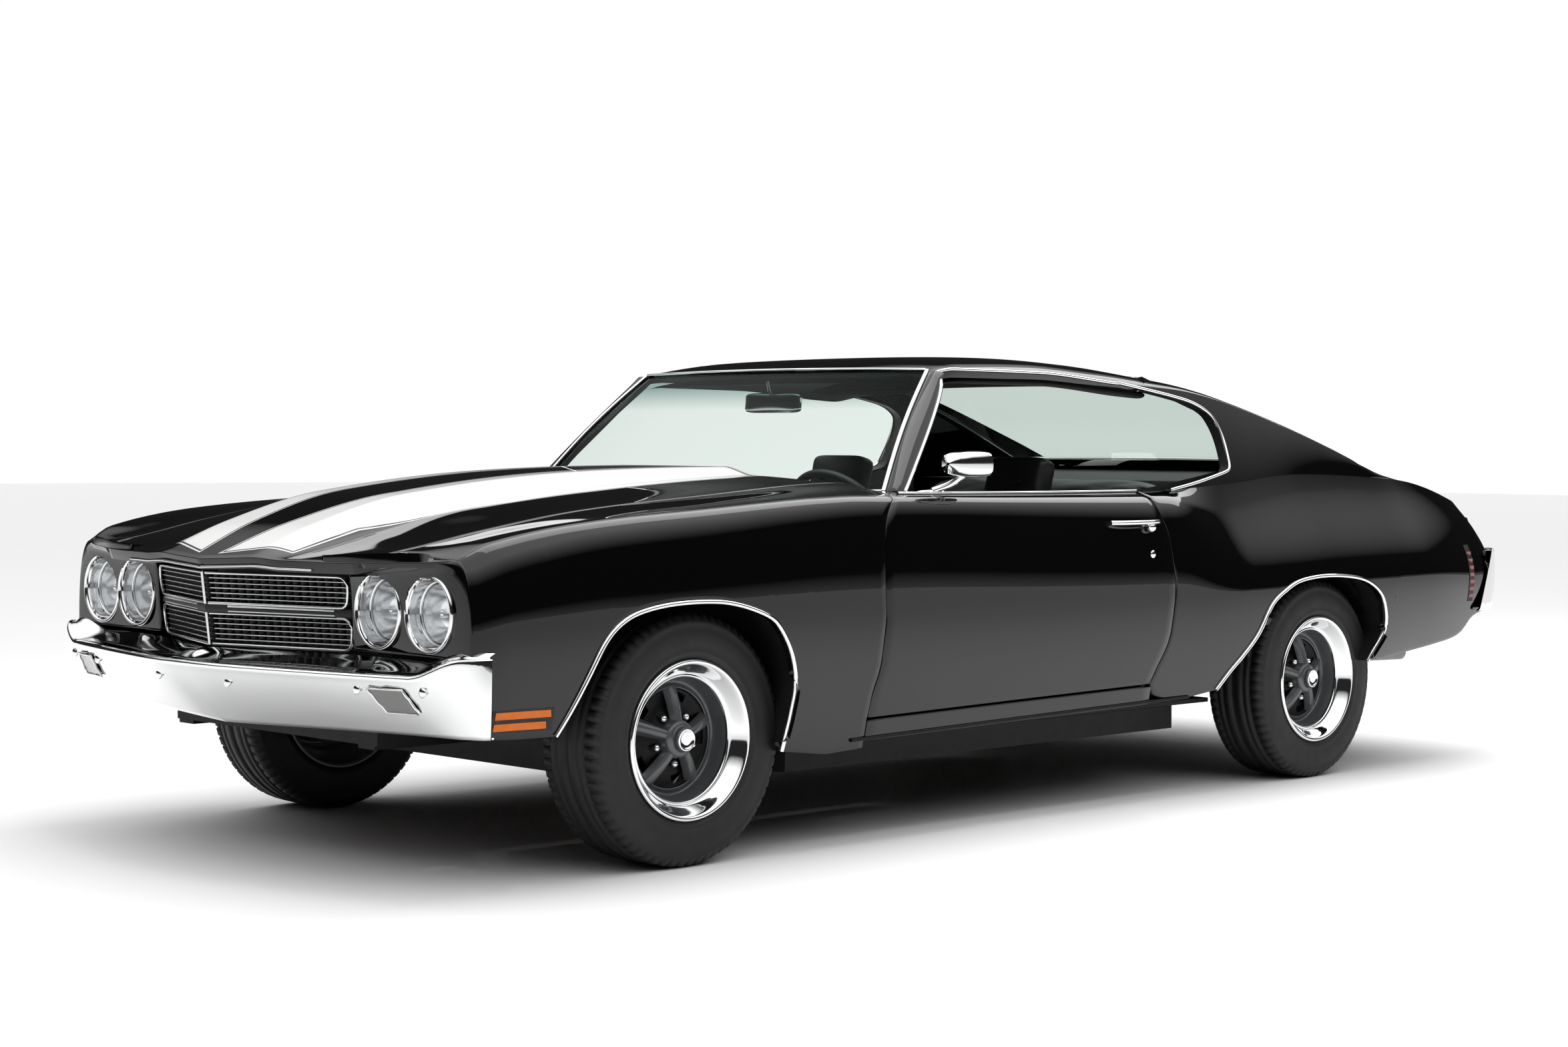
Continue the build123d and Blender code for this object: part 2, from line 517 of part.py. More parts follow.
# Tail: bumper with lamps
REAR_BUMPER_Z = (520, 742)
TAIL_PLAN = [(REAR_X, 0), (REAR_X, 200), (REAR_X + 6, 500), (rx(-1145), 760), (rx(-1110), 870), (rx(-1010), 925), (rx(-930), 938)]
TAIL_BACK = [(rx(-1119), 0), (rx(-1119), 200), (rx(-1119), 500), (rx(-1119), 760), (rx(-1090), 865), (rx(-1010), 905), (rx(-930), 916)]
LAMP_SLOT_Y = (470, 760)
PLATE_HOLE_Y = 89
PLATE_HOLE_R = 3.25
tail_bar = prism_z(both_sides(TAIL_PLAN, TAIL_BACK), *REAR_BUMPER_Z)
tail_slot = slab(REAR_X - 10, rx(-1080), LAMP_SLOT_Y[0], LAMP_SLOT_Y[1], 590, 700)
with BuildPart() as rear_bumper:
    add(tail_bar - outer_body)
    for side in (-1, 1):
        add(rod((REAR_X - 5, side * PLATE_HOLE_Y, 600), (REAR_X + 30, side * PLATE_HOLE_Y, 600), PLATE_HOLE_R), mode=Mode.SUBTRACT)
    add(tail_slot, mode=Mode.SUBTRACT)
    mirror(tail_slot, about=Plane.XZ, mode=Mode.SUBTRACT)

with BuildPart() as tail_lamps:
    fit = slab(REAR_X + 4, rx(-1121), LAMP_SLOT_Y[0] + RUNNING_GAP, LAMP_SLOT_Y[1] - RUNNING_GAP, 590 + RUNNING_GAP, 700 - RUNNING_GAP)
    add(fit & Pos(8, 0, 0) * tail_bar - outer_body)
    mirror(about=Plane.XZ)

# Wheels and tyres: one profile turned about the axle line
WHEELS = [("left_front", fx(0), 1), ("right_front", fx(0), -1), ("left_rear", rx(0), 1), ("right_rear", rx(0), -1)]
DISC_OUT = 62
HUB_R = 62


def rim(x, side):
    """Steel wheel with five spokes; the outer face looks away from the car."""
    half = RIM_WIDTH / 2
    with BuildPart(mode=Mode.PRIVATE) as solid:
        with BuildSketch(Plane.XY):
            with BuildLine():
                Polyline((BEAD_R, -half), (RIM_LIP_R, -half), (RIM_LIP_R, -half - 8), (BEAD_R - 10, -half - 8), (BEAD_R - 14, -half + 40),
                         (150, -20), (150, 25), (BEAD_R - 16, half - 30), (BEAD_R - 10, half + 8), (RIM_LIP_R, half + 8),
                         (RIM_LIP_R, half), (BEAD_R, half), (BEAD_R, half - 24), (164, 36), (164, -32), (BEAD_R, -half + 34), close=True)
            make_face()
            with BuildLine():
                Polyline((SPINDLE_R + RUNNING_GAP, -10), (HUB_R, -10), (HUB_R, 34), (152, 4), (152, 22), (120, 52), (HUB_R, DISC_OUT),
                         (50, DISC_OUT + 24), (SPINDLE_R + RUNNING_GAP, DISC_OUT + 24), close=True)
            make_face()
        revolve(axis=Axis.Y)
        for turn in range(5):
            with BuildSketch(Plane.XZ):
                with PolarLocations(106, 1, start_angle=90 + 36 + 72 * turn):
                    SlotOverall(64, 44, rotation=0)
            extrude(amount=200, both=True, mode=Mode.SUBTRACT)
    placed = solid.part if side > 0 else solid.part.mirror(Plane.XZ)
    return placed.moved(Location((x, side * TRACK_HALF, TYRE_R)))


def tyre(x, side):
    """Plain tyre, round-shouldered."""
    half = TYRE_WIDTH / 2
    tread = half - 24
    with BuildPart(mode=Mode.PRIVATE) as solid:
        with BuildSketch(Plane.XY):
            with BuildLine():
                Polyline((BEAD_R + RUNNING_GAP, -RIM_WIDTH / 2 + 1), (RIM_LIP_R + 3, -RIM_WIDTH / 2 + 1), (RIM_LIP_R + 14, -half + 6))
                ThreePointArc((RIM_LIP_R + 14, -half + 6), (262, -half), (TYRE_R - 22, -half + 8))
                ThreePointArc((TYRE_R - 22, -half + 8), (TYRE_R - 6, -half + 14), (TYRE_R - 1, -tread))
                Line((TYRE_R - 1, -tread), (TYRE_R, 0))
                Line((TYRE_R, 0), (TYRE_R - 1, tread))
                ThreePointArc((TYRE_R - 1, tread), (TYRE_R - 6, half - 14), (TYRE_R - 22, half - 8))
                ThreePointArc((TYRE_R - 22, half - 8), (262, half), (RIM_LIP_R + 14, half - 6))
                Polyline((RIM_LIP_R + 14, half - 6), (RIM_LIP_R + 3, RIM_WIDTH / 2 - 1), (BEAD_R + RUNNING_GAP, RIM_WIDTH / 2 - 1))
                Line((BEAD_R + RUNNING_GAP, RIM_WIDTH / 2 - 1), (BEAD_R + RUNNING_GAP, -RIM_WIDTH / 2 + 1))
            make_face()
        revolve(axis=Axis.Y)
    return solid.part.moved(Location((x, side * TRACK_HALF, TYRE_R)))


with BuildPart() as left_front_wheel:
    add(rim(*WHEELS[0][1:]))
with BuildPart() as right_front_wheel:
    add(rim(*WHEELS[1][1:]))
with BuildPart() as left_rear_wheel:
    add(rim(*WHEELS[2][1:]))
with BuildPart() as right_rear_wheel:
    add(rim(*WHEELS[3][1:]))
with BuildPart() as left_front_tyre:
    add(tyre(*WHEELS[0][1:]))
with BuildPart() as right_front_tyre:
    add(tyre(*WHEELS[1][1:]))
with BuildPart() as left_rear_tyre:
    add(tyre(*WHEELS[2][1:]))
with BuildPart() as right_rear_tyre:
    add(tyre(*WHEELS[3][1:]))


# Floor with firewall, tunnel and rear wheelhouses
FLOOR = 14
FLOOR_Z = 284
TRUNK_Z = 540
FLOOR_HALF = 734.8
TRUNK_HALF = 575
HOUSE_R = (372, 384)
TUNNEL = [(-160, FLOOR_Z - FLOOR), (160, FLOOR_Z - FLOOR), (120, 520), (-120, 520)]
TUNNEL_REAR = [(-160, FLOOR_Z - FLOOR), (160, FLOOR_Z - FLOOR), (120, 410), (-120, 410)]
TUNNEL_STEP_X = fx(-1240)


def along_x(points, x_from, x_to):
    """Prism with an outline seen from the front."""
    with BuildPart(mode=Mode.PRIVATE) as solid:
        with BuildSketch(across(x_from)):
            with BuildLine():
                Polyline(*points, close=True)
            make_face()
        extrude(amount=x_to - x_from)
    return solid.part


def disc_y(x, y_from, y_to, z, radius):
    """Round slab whose axis runs across the car."""
    with BuildPart(mode=Mode.PRIVATE) as solid:
        with BuildSketch(side_plane(y_from)):
            with Locations((x, z)):
                Circle(radius)
        extrude(amount=y_from - y_to)
    return solid.part


with BuildPart() as floor_pan:
    profile = [(fx(-716), 880), (fx(-716), 470), (fx(-860), FLOOR_Z), (rx(420), FLOOR_Z), (rx(340), TRUNK_Z), (rx(-1070), TRUNK_Z),
               (rx(-1070), TRUNK_Z - FLOOR), (rx(330), TRUNK_Z - FLOOR), (rx(408), FLOOR_Z - FLOOR), (fx(-852), FLOOR_Z - FLOOR),
               (fx(-702), 464), (fx(-702), 880)]
    add(prism_y(profile, -FLOOR_HALF, FLOOR_HALF))
    for side in (-1, 1):
        add(slab(REAR_X, rx(425), side * TRUNK_HALF, side * 760, 0, 1000), mode=Mode.SUBTRACT)
    add(along_x(TUNNEL, fx(-716), TUNNEL_STEP_X))
    add(along_x(TUNNEL_REAR, TUNNEL_STEP_X, rx(372)))
    add(along_x([(y * 0.88, z - 14 if z > 400 else z - 20) for y, z in TUNNEL], fx(-690), TUNNEL_STEP_X + FLOOR), mode=Mode.SUBTRACT)
    add(along_x([(y * 0.88, z - 14 if z > 400 else z - 20) for y, z in TUNNEL_REAR], fx(-800), rx(340)), mode=Mode.SUBTRACT)
    for side in (-1, 1):
        house = disc_y(rx(0), side * (TRUNK_HALF - 4), side * 850, TYRE_R, HOUSE_R[1])
        house -= disc_y(rx(0), side * (TRUNK_HALF + 10), side * 900, TYRE_R, HOUSE_R[0])
        add(house & slab(rx(-400), rx(400), side * 500, side * 900, 420, 800))

with BuildPart() as inner_fenders:
    apron = [(fx(-702), 430), (fx(-160), 430), (fx(-130), 560), (fx(130), 560), (fx(160), 430), (fx(655), 430), (fx(655), 730),
             (fx(300), 815), (fx(-702), 870)]
    for side in (-1, 1):
        add(prism_y(apron, side * 462, side * 474))
        add(slab(fx(-420), fx(430), side * 470, side * 940, 745, 757) & inner_body)

RAIL = 70
with BuildPart() as frame:
    for side in (-1, 1):
        add(slab(fx(-420), fx(690), side * 380, side * 450, 320, 420))
        add(slab(fx(-420), fx(-350), side * 380, side * 450, 190, 420))
        bend = [(fx(-350), 380), (fx(-350), 450), (fx(-520), 690), (fx(-600), 690), (fx(-600), 620), (fx(-420), 380)]
        add(prism_z([(x, side * y) for x, y in bend], 190, 262))
        add(slab(rx(560), fx(-560), side * 620, side * 690, 190, 262))
        kick = [(rx(640), 620), (rx(640), 690), (rx(560), 690), (rx(360), 470), (rx(280), 470), (rx(280), 400), (rx(420), 400)]
        add(prism_z([(x, side * y) for x, y in kick], 190, 262))
        add(slab(rx(280), rx(328), side * 400, side * 470, 190, 500))
        add(slab(rx(-1040), rx(330), side * 400, side * 470, 425, 526))
    add(slab(fx(-60), fx(90), -455, 455, 215, 340))
    add(slab(fx(-1060), fx(-980), -640, 640, 200, 262))
    add(slab(rx(-1040), rx(-970), -460, 460, 440, 526))
    add(slab(fx(630), fx(690), -460, 460, 330, 400))
    add(floor_pan.part, mode=Mode.SUBTRACT)

with BuildPart() as engine:
    add(slab(fx(-560), fx(150), -185, 185, 340, 560))
    heads = [(-120, 540), (120, 540), (250, 660), (160, 740), (-160, 740), (-250, 660)]
    add(along_x(heads, fx(-500), fx(110)))
    with Locations((fx(-200), 0, 790)):
        Cylinder(60, 120)
    with Locations((fx(-200), 0, 860)):
        Cylinder(185, 70)
    with Locations(Location((fx(175), 0, 500), (0, 90, 0))):
        Cylinder(70, 60)
    with Locations(Location((fx(215), 0, 520), (0, 90, 0))):
        Cylinder(215, 22)

with BuildPart() as radiator:
    add(slab(fx(420), fx(480), -360, 360, 420, 748))
    add(slab(fx(430), fx(470), -450, 450, 420, 450))

SHAFT_FRONT = (fx(-1150), 0, 352)
with BuildPart() as driveline:
    with Locations(Location((fx(-700), 0, 385), (0, 90, 0))):
        Cylinder(108, 280)
    with Locations(Location((fx(-990), 0, 370), (0, 90, 0))):
        Cylinder(78, 320)
    add(slab(fx(-1050), fx(-990), -60, 60, 262, 330))
    add(rod(SHAFT_FRONT, (rx(178), 0, 335), 36))
    add(floor_pan.part, mode=Mode.SUBTRACT)

ARM_LOW_Z = 232
ARM_TOP_Z = 482
BALL_R = 9
with BuildPart() as front_suspension:
    for side in (-1, 1):
        for ahead, z in ((110, ARM_LOW_Z), (-110, ARM_LOW_Z)):
            add(rod((fx(ahead * 0.7), side * 440, z + 28), (fx(0), side * KINGPIN_Y, z), 11))
        add(rod((fx(70), side * 440, ARM_TOP_Z - 40), (fx(0), side * KINGPIN_Y, ARM_TOP_Z), 9))
        add(rod((fx(-70), side * 440, ARM_TOP_Z - 40), (fx(0), side * KINGPIN_Y, ARM_TOP_Z), 9))
        add(slab(fx(-80), fx(80), side * 400, side * 450, 415, ARM_TOP_Z - 20))
        add(rod((fx(0), side * 530, 245), (fx(0), side * 530, 440), 45))
        add(rod((fx(-205), side * 330, 290), (fx(-192), side * 455, 290), 11))
        add(rod((fx(-205), side * 330, 290), (fx(-205), side * 392, 340), 13))
    add(rod((fx(-205), -335, 290), (fx(-205), 335, 290), 14))
    for side in (-1, 1):
        for z in (ARM_LOW_Z, ARM_TOP_Z):
            add(rod((fx(0), side * KINGPIN_Y, z - 12), (fx(0), side * KINGPIN_Y, z + 12), 22))
            add(rod((fx(0), side * KINGPIN_Y, z - 30), (fx(0), side * KINGPIN_Y, z + 30), BALL_R + RUNNING_GAP), mode=Mode.SUBTRACT)
    add(frame.part, mode=Mode.SUBTRACT)

with BuildPart() as left_knuckle:
    add(rod((fx(0), KINGPIN_Y, ARM_LOW_Z + 18), (fx(0), KINGPIN_Y, ARM_TOP_Z - 18), 24))
    add(rod((fx(0), KINGPIN_Y, ARM_LOW_Z - 14), (fx(0), KINGPIN_Y, ARM_TOP_Z + 14), BALL_R))
    add(rod((fx(0), KINGPIN_Y, TYRE_R), (fx(0), TRACK_HALF + DISC_OUT + 12, TYRE_R), SPINDLE_R))
    add(disc_y(fx(0), 698, 732, TYRE_R, 138))
    add(rod((fx(0), KINGPIN_Y, 300), (fx(-140), 652, 300), 13))

with BuildPart() as right_knuckle:
    mirror(left_knuckle.part, about=Plane.XZ)

with BuildPart() as rear_axle:
    add(rod((rx(0), -700, TYRE_R), (rx(0), 700, TYRE_R), 42))
    add(disc_y(rx(0), -110, 110, TYRE_R, 135))
    add(rod((rx(60), 0, TYRE_R), (rx(178), 0, 335), 52))
    for side in (-1, 1):
        add(rod((rx(0), side * 690, TYRE_R), (rx(0), side * (TRACK_HALF + DISC_OUT + 12), TYRE_R), SPINDLE_R))
        add(disc_y(rx(0), side * 698, side * 732, TYRE_R, 138))
        add(rod((rx(0), side * 435, TYRE_R), (rx(0), side * 435, 425), 58))
        add(rod((rx(0), side * 435, 285), (rx(320), side * 435, 250), 15))
    add(frame.part, mode=Mode.SUBTRACT)
    add(driveline.part, mode=Mode.SUBTRACT)

PIPE_R = 27
PIPE = [(fx(-330), 250, 345), (fx(-480), 240, 225), (rx(1120), 240, 222), (rx(640), 300, 222), (rx(345), 335, 222), (rx(245), 335, 462),
        (rx(-200), 335, 462), (rx(-330), 345, 368), (rx(-520), 540, 362), (rx(-1000), 560, 352)]
with BuildPart() as exhaust:
    for side in (-1, 1):
        for start, end in zip(PIPE[:-1], PIPE[1:]):
            add(rod((start[0], side * start[1], start[2]), (end[0], side * end[1], end[2]), PIPE_R))
        for point in PIPE[1:-1]:
            with Locations((point[0], side * point[1], point[2])):
                Sphere(PIPE_R)
        add(slab(rx(660), rx(1120), side * 170, side * 370, 165, FLOOR_Z - FLOOR))
        add(slab(fx(-350), fx(-300), side * 185, side * 270, 330, 380))
    add(frame.part, mode=Mode.SUBTRACT)
    add(engine.part, mode=Mode.SUBTRACT)

with BuildPart() as fuel_tank:
    add(slab(rx(-880), rx(-400), -296, 296, 300, TRUNK_Z - FLOOR))

# Cabin
with BuildPart() as dashboard:
    face = [(fx(-790), 915), (fx(-790), 760), (fx(-850), 650), (fx(-950), 650), (fx(-985), 800), (fx(-950), 905)]
    add(prism_y(face, -FLOOR_HALF, FLOOR_HALF))
    add(prism_y([(fx(-900), 660), (fx(-1000), 660), (fx(-1120), 596), (fx(-1560), 596), (fx(-1560), 520), (fx(-900), 520)], -92, 92))

COLUMN_Y = 370
COLUMN_LOW = Vector(fx(-705), COLUMN_Y, 604)
STEER_CENTRE = Vector(fx(-1085), COLUMN_Y, 853)
COLUMN_AXIS = (STEER_CENTRE - COLUMN_LOW).normalized()
STEER_R = 188
with BuildPart() as steering_column:
    add(rod(tuple(COLUMN_LOW), tuple(STEER_CENTRE - COLUMN_AXIS * 58), 30))
    add(floor_pan.part, mode=Mode.SUBTRACT)
    add(dashboard.part, mode=Mode.SUBTRACT)
    add(rod(tuple(STEER_CENTRE - COLUMN_AXIS * 110), tuple(STEER_CENTRE), BALL_R + RUNNING_GAP), mode=Mode.SUBTRACT)

with BuildPart() as steering_wheel:
    wheel_plane = Plane(origin=tuple(STEER_CENTRE), x_dir=(0, 1, 0), z_dir=tuple(COLUMN_AXIS))
    with Locations(wheel_plane.location):
        Torus(STEER_R, 13)
    add(rod(tuple(STEER_CENTRE - COLUMN_AXIS * 52), tuple(STEER_CENTRE - COLUMN_AXIS * 2), 42))
    add(rod(tuple(STEER_CENTRE - COLUMN_AXIS * 104), tuple(STEER_CENTRE - COLUMN_AXIS * 20), BALL_R))
    for turn in (-4, 184, 270):
        tip = wheel_plane.from_local_coords(Vector(STEER_R * cos(radians(turn)), STEER_R * sin(radians(turn)), 0))
        add(rod(tuple(STEER_CENTRE - COLUMN_AXIS * 20), tuple(tip), 9))

SEAT_Y = (172, 650)
with BuildPart() as front_seats:
    for side in (-1, 1):
        cushion = [(fx(-1180), FLOOR_Z), (fx(-1180), 430), (fx(-1210), 470), (fx(-1660), 430), (fx(-1690), FLOOR_Z)]
        add(prism_y(cushion, side * SEAT_Y[0], side * SEAT_Y[1]))
        back = [(fx(-1600), 400), (fx(-1740), 400), (fx(-1900), 880), (fx(-1870), 925), (fx(-1810), 925)]
        add(prism_y(back, side * SEAT_Y[0], side * SEAT_Y[1]))
        rest = [(fx(-1810), 915), (fx(-1870), 915), (fx(-1905), 1060), (fx(-1820), 1060)]
        add(prism_y(rest, side * 270, side * 520))

with BuildPart() as rear_seat:
    add(prism_y([(rx(830), FLOOR_Z), (rx(830), 440), (rx(790), 470), (rx(350), 430), (rx(420), FLOOR_Z)], -570, 570))
    add(prism_y([(rx(510), 430), (rx(375), 985), (rx(346), 985), (rx(338), 900), (rx(220), 900), (rx(330), 541), (rx(360), 430)], -570, 570))
    add(along_x(TUNNEL_REAR, TUNNEL_STEP_X, rx(300)), mode=Mode.SUBTRACT)
    add(prism_y([(rx(420), FLOOR_Z), (rx(340), TRUNK_Z), (rx(200), TRUNK_Z), (rx(200), FLOOR_Z)], -600, 600), mode=Mode.SUBTRACT)

with BuildPart() as roof_fittings:
    lining = greenhouse(PILLAR_WALL) - greenhouse(PILLAR_WALL + 16)
    for side in (-1, 1):
        add(lining & slab(fx(-1340), fx(-1195), side * 90, side * 540, 1200, 1350))
    add(slab(fx(-1145), fx(-1060), -14, 14, 1215, 1240) & greenhouse(10 + GLASS))
    add(slab(fx(-1155), fx(-1130), -125, 125, 1192, 1256))

with BuildPart() as door_mirror:
    add(slab(fx(-1000), fx(-900), 806, 832, DOOR_TOP_Z, 975))
    add(rod((fx(-955), 822, 971), (fx(-1030), 890, 1040), 15))
    add(slab(fx(-1100), fx(-960), 846, 950, 1005, 1081))

with BuildPart() as side_markers:
    for side in (-1, 1):
        add(slab(fx(508), fx(668), side * 870, side * 908, 396, 447) - outer_body)
        add(slab(rx(-908), rx(-868), side * 880, side * 918, 560, 760) - outer_body)

NODES = {"body_shell": body_shell, "windshield": windshield, "rear_window": rear_window, "hood": hood, "trunk_lid": trunk_lid,
         "left_fender": left_fender, "right_fender": right_fender, "left_door": left_door, "right_door": right_door,
         "header_panel": header_panel, "headlamp_bezels": headlamp_bezels, "headlamps": headlamps, "grille": grille,
         "front_bumper": front_bumper, "parking_lamps": parking_lamps, "rear_bumper": rear_bumper, "tail_lamps": tail_lamps,
         "left_front_wheel": left_front_wheel, "right_front_wheel": right_front_wheel, "left_rear_wheel": left_rear_wheel,
         "right_rear_wheel": right_rear_wheel, "left_front_tyre": left_front_tyre, "right_front_tyre": right_front_tyre,
         "left_rear_tyre": left_rear_tyre, "right_rear_tyre": right_rear_tyre, "floor_pan": floor_pan, "inner_fenders": inner_fenders,
         "frame": frame, "engine": engine, "radiator": radiator, "driveline": driveline, "front_suspension": front_suspension,
         "left_knuckle": left_knuckle, "right_knuckle": right_knuckle, "rear_axle": rear_axle, "exhaust": exhaust,
         "fuel_tank": fuel_tank, "dashboard": dashboard, "steering_column": steering_column, "steering_wheel": steering_wheel,
         "front_seats": front_seats, "rear_seat": rear_seat, "roof_fittings": roof_fittings, "door_mirror": door_mirror,
         "side_markers": side_markers}
for label, node in NODES.items():
    node.part.label = label
    export_step(node.part, f"parts/{label}.step")
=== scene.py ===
# %% [markdown]
# This lesson dresses a two-door hardtop coupe of about 1970. The solids come from a CAD file, and this
# script gives them paint, chrome, glass and the fine shapes that a solid leaves plain. All lengths below
# are in millimetres, as on a workshop drawing, and turn into metres only when a mesh is made.

# %% Load the solids and note the size of the car
import math

import bmesh
import bpy
from mathutils import Matrix, Vector


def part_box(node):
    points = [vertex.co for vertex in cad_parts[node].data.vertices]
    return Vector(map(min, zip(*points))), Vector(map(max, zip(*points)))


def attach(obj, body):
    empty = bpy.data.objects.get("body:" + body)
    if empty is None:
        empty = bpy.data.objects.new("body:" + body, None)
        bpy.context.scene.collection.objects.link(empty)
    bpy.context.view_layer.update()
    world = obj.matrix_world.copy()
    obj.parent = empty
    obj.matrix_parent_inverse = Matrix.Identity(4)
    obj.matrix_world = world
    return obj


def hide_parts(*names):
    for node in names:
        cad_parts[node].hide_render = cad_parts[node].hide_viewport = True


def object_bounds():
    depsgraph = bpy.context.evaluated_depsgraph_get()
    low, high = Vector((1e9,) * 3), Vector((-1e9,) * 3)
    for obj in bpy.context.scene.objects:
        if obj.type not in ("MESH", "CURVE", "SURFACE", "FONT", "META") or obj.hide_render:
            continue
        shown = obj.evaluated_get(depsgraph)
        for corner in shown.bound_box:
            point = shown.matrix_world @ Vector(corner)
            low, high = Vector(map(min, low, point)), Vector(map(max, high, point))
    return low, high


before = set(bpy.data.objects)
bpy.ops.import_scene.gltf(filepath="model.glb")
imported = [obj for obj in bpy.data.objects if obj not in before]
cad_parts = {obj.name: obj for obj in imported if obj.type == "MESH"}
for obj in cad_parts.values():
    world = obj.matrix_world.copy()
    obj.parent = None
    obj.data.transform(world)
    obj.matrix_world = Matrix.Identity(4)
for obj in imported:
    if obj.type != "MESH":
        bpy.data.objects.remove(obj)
cad_box = [list(corner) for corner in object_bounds()]
MM = 0.001


def node_centre(node):
    """Middle of a CAD node's box, in millimetres."""
    low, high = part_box(node)
    return [(a + b) / 2 / MM for a, b in zip(low, high)]


FRONT_AXLE = node_centre("left_front_wheel")
REAR_AXLE = node_centre("left_rear_wheel")
AXLE_Z = FRONT_AXLE[2]


def fx(ahead):
    """X of a place measured ahead of the front axle."""
    return FRONT_AXLE[0] + ahead


def rx(ahead):
    """X of a place measured ahead of the rear axle."""
    return REAR_AXLE[0] + ahead


print("front axle", FRONT_AXLE, "rear axle", REAR_AXLE)

# %% [markdown]
# Car panels are smooth sheets stretched between a few well-chosen lines, so most shapes here start as
# curves. A curve could be a Blender spline, but plain points are easier to measure, trim and share between
# two panels that meet. These helpers read a short table of numbers smoothly and spread points evenly along
# a line.

# %% Curves from a few points


def smooth_table(rows):
    """Function that reads a table of (place, value) rows smoothly, without overshooting."""
    rows = sorted(rows)
    xs = [r[0] for r in rows]
    ys = [r[1] for r in rows]
    last = len(xs) - 1
    steps = [(ys[i + 1] - ys[i]) / (xs[i + 1] - xs[i]) for i in range(last)]
    slopes = [steps[0]]
    for i in range(1, last):
        a, b = steps[i - 1], steps[i]
        slopes.append(0 if a * b <= 0 else 2 * a * b / (a + b))
    slopes.append(steps[-1])

    def read(x):
        if x <= xs[0]:
            return ys[0] + slopes[0] * (x - xs[0])
        if x >= xs[-1]:
            return ys[-1] + slopes[-1] * (x - xs[-1])
        i = max(k for k in range(last) if xs[k] <= x)
        span = xs[i + 1] - xs[i]
        t = (x - xs[i]) / span
        h00 = (1 + 2 * t) * (1 - t) ** 2
        h10 = t * (1 - t) ** 2
        h01 = t * t * (3 - 2 * t)
        h11 = t * t * (t - 1)
        return h00 * ys[i] + h10 * span * slopes[i] + h01 * ys[i + 1] + h11 * span * slopes[i + 1]

    return read


def spread(points, count, rounded=True):
    """Evenly spaced points along a line through the given points, rounded or straight between them."""
    pts = [Vector(p) for p in points]
    dense = []
    for i in range(len(pts) - 1):
        p0 = pts[i - 1] if i else pts[0] * 2 - pts[1]
        p3 = pts[i + 2] if i + 2 < len(pts) else pts[-1] * 2 - pts[-2]
        p1, p2 = pts[i], pts[i + 1]
        for k in range(12):
            t = k / 12
            if rounded:
                a = p1 * 2 + (p2 - p0) * t + (p0 * 2 - p1 * 5 + p2 * 4 - p3) * t * t
                dense.append((a + (p1 * 3 - p0 - p2 * 3 + p3) * t ** 3) / 2)
            else:
                dense.append(p1.lerp(p2, t))
    dense.append(pts[-1])
    run = [0.0]
    for a, b in zip(dense[:-1], dense[1:]):
        run.append(run[-1] + (b - a).length)
    out = []
    place = 0
    for k in range(count + 1):
        want = run[-1] * k / count
        while place < len(dense) - 2 and run[place + 1] < want:
            place += 1
        gap = run[place + 1] - run[place]
        out.append(dense[place].lerp(dense[place + 1], (want - run[place]) / gap if gap else 0))
    return out


def join(*lines):
    """One line from several that follow on, without repeating the shared ends."""
    whole = list(lines[0])
    for line in lines[1:]:
        whole += list(line)[1:]
    return whole


def patch(low, high, start, end):
    """Grid of points stretched between four edge lines that share corners; low and high run the same way."""
    across = len(low) - 1
    up = len(start) - 1
    grid = []
    for j in range(up + 1):
        v = j / up
        row = []
        for i in range(across + 1):
            u = i / across
            point = low[i] * (1 - v) + high[i] * v + start[j] * (1 - u) + end[j] * u
            corner = (low[0] * (1 - u) + low[-1] * u) * (1 - v) + (high[0] * (1 - u) + high[-1] * u) * v
            row.append(point - corner)
        grid.append(row)
    return grid


print("curve helpers ready")

# %% [markdown]
# A pressed panel shows its thin folded edge all round, which is what makes the gaps between panels read as
# dark lines with a bright rim. The grid becomes one bmesh, its border is drawn inwards in steps, first a
# hair for the rounded fold and then deep into the gap, and every piece rides on the CAD body that it
# belongs to.

# %% Meshes from grids
ROUND = 2.2
FLANGE = 22


def finish_piece(bm, name, material, body, replaces=(), smooth=True):
    """Turn a bmesh in millimetres into a finished piece in metres."""
    bmesh.ops.scale(bm, vec=(MM, MM, MM), verts=bm.verts)
    bmesh.ops.recalc_face_normals(bm, faces=bm.faces)
    for face in bm.faces:
        face.smooth = smooth
    mesh = bpy.data.meshes.new(name)
    bm.to_mesh(mesh)
    bm.free()
    mesh.materials.append(material)
    obj = bpy.data.objects.new(name, mesh)
    bpy.context.scene.collection.objects.link(obj)
    if replaces:
        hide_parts(*replaces)
    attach(obj, body)
    return obj


def add_grid(bm, grid, closed_rows=False):
    """Put a grid of points into a bmesh as faces; returns its vertices row by row."""
    verts = [[bm.verts.new(p) for p in row] for row in grid]
    for j in range(len(grid) - 1):
        count = len(grid[j])
        for i in range(count if closed_rows else count - 1):
            k = (i + 1) % count
            bm.faces.new((verts[j][i], verts[j][k], verts[j + 1][k], verts[j + 1][i]))
    return verts


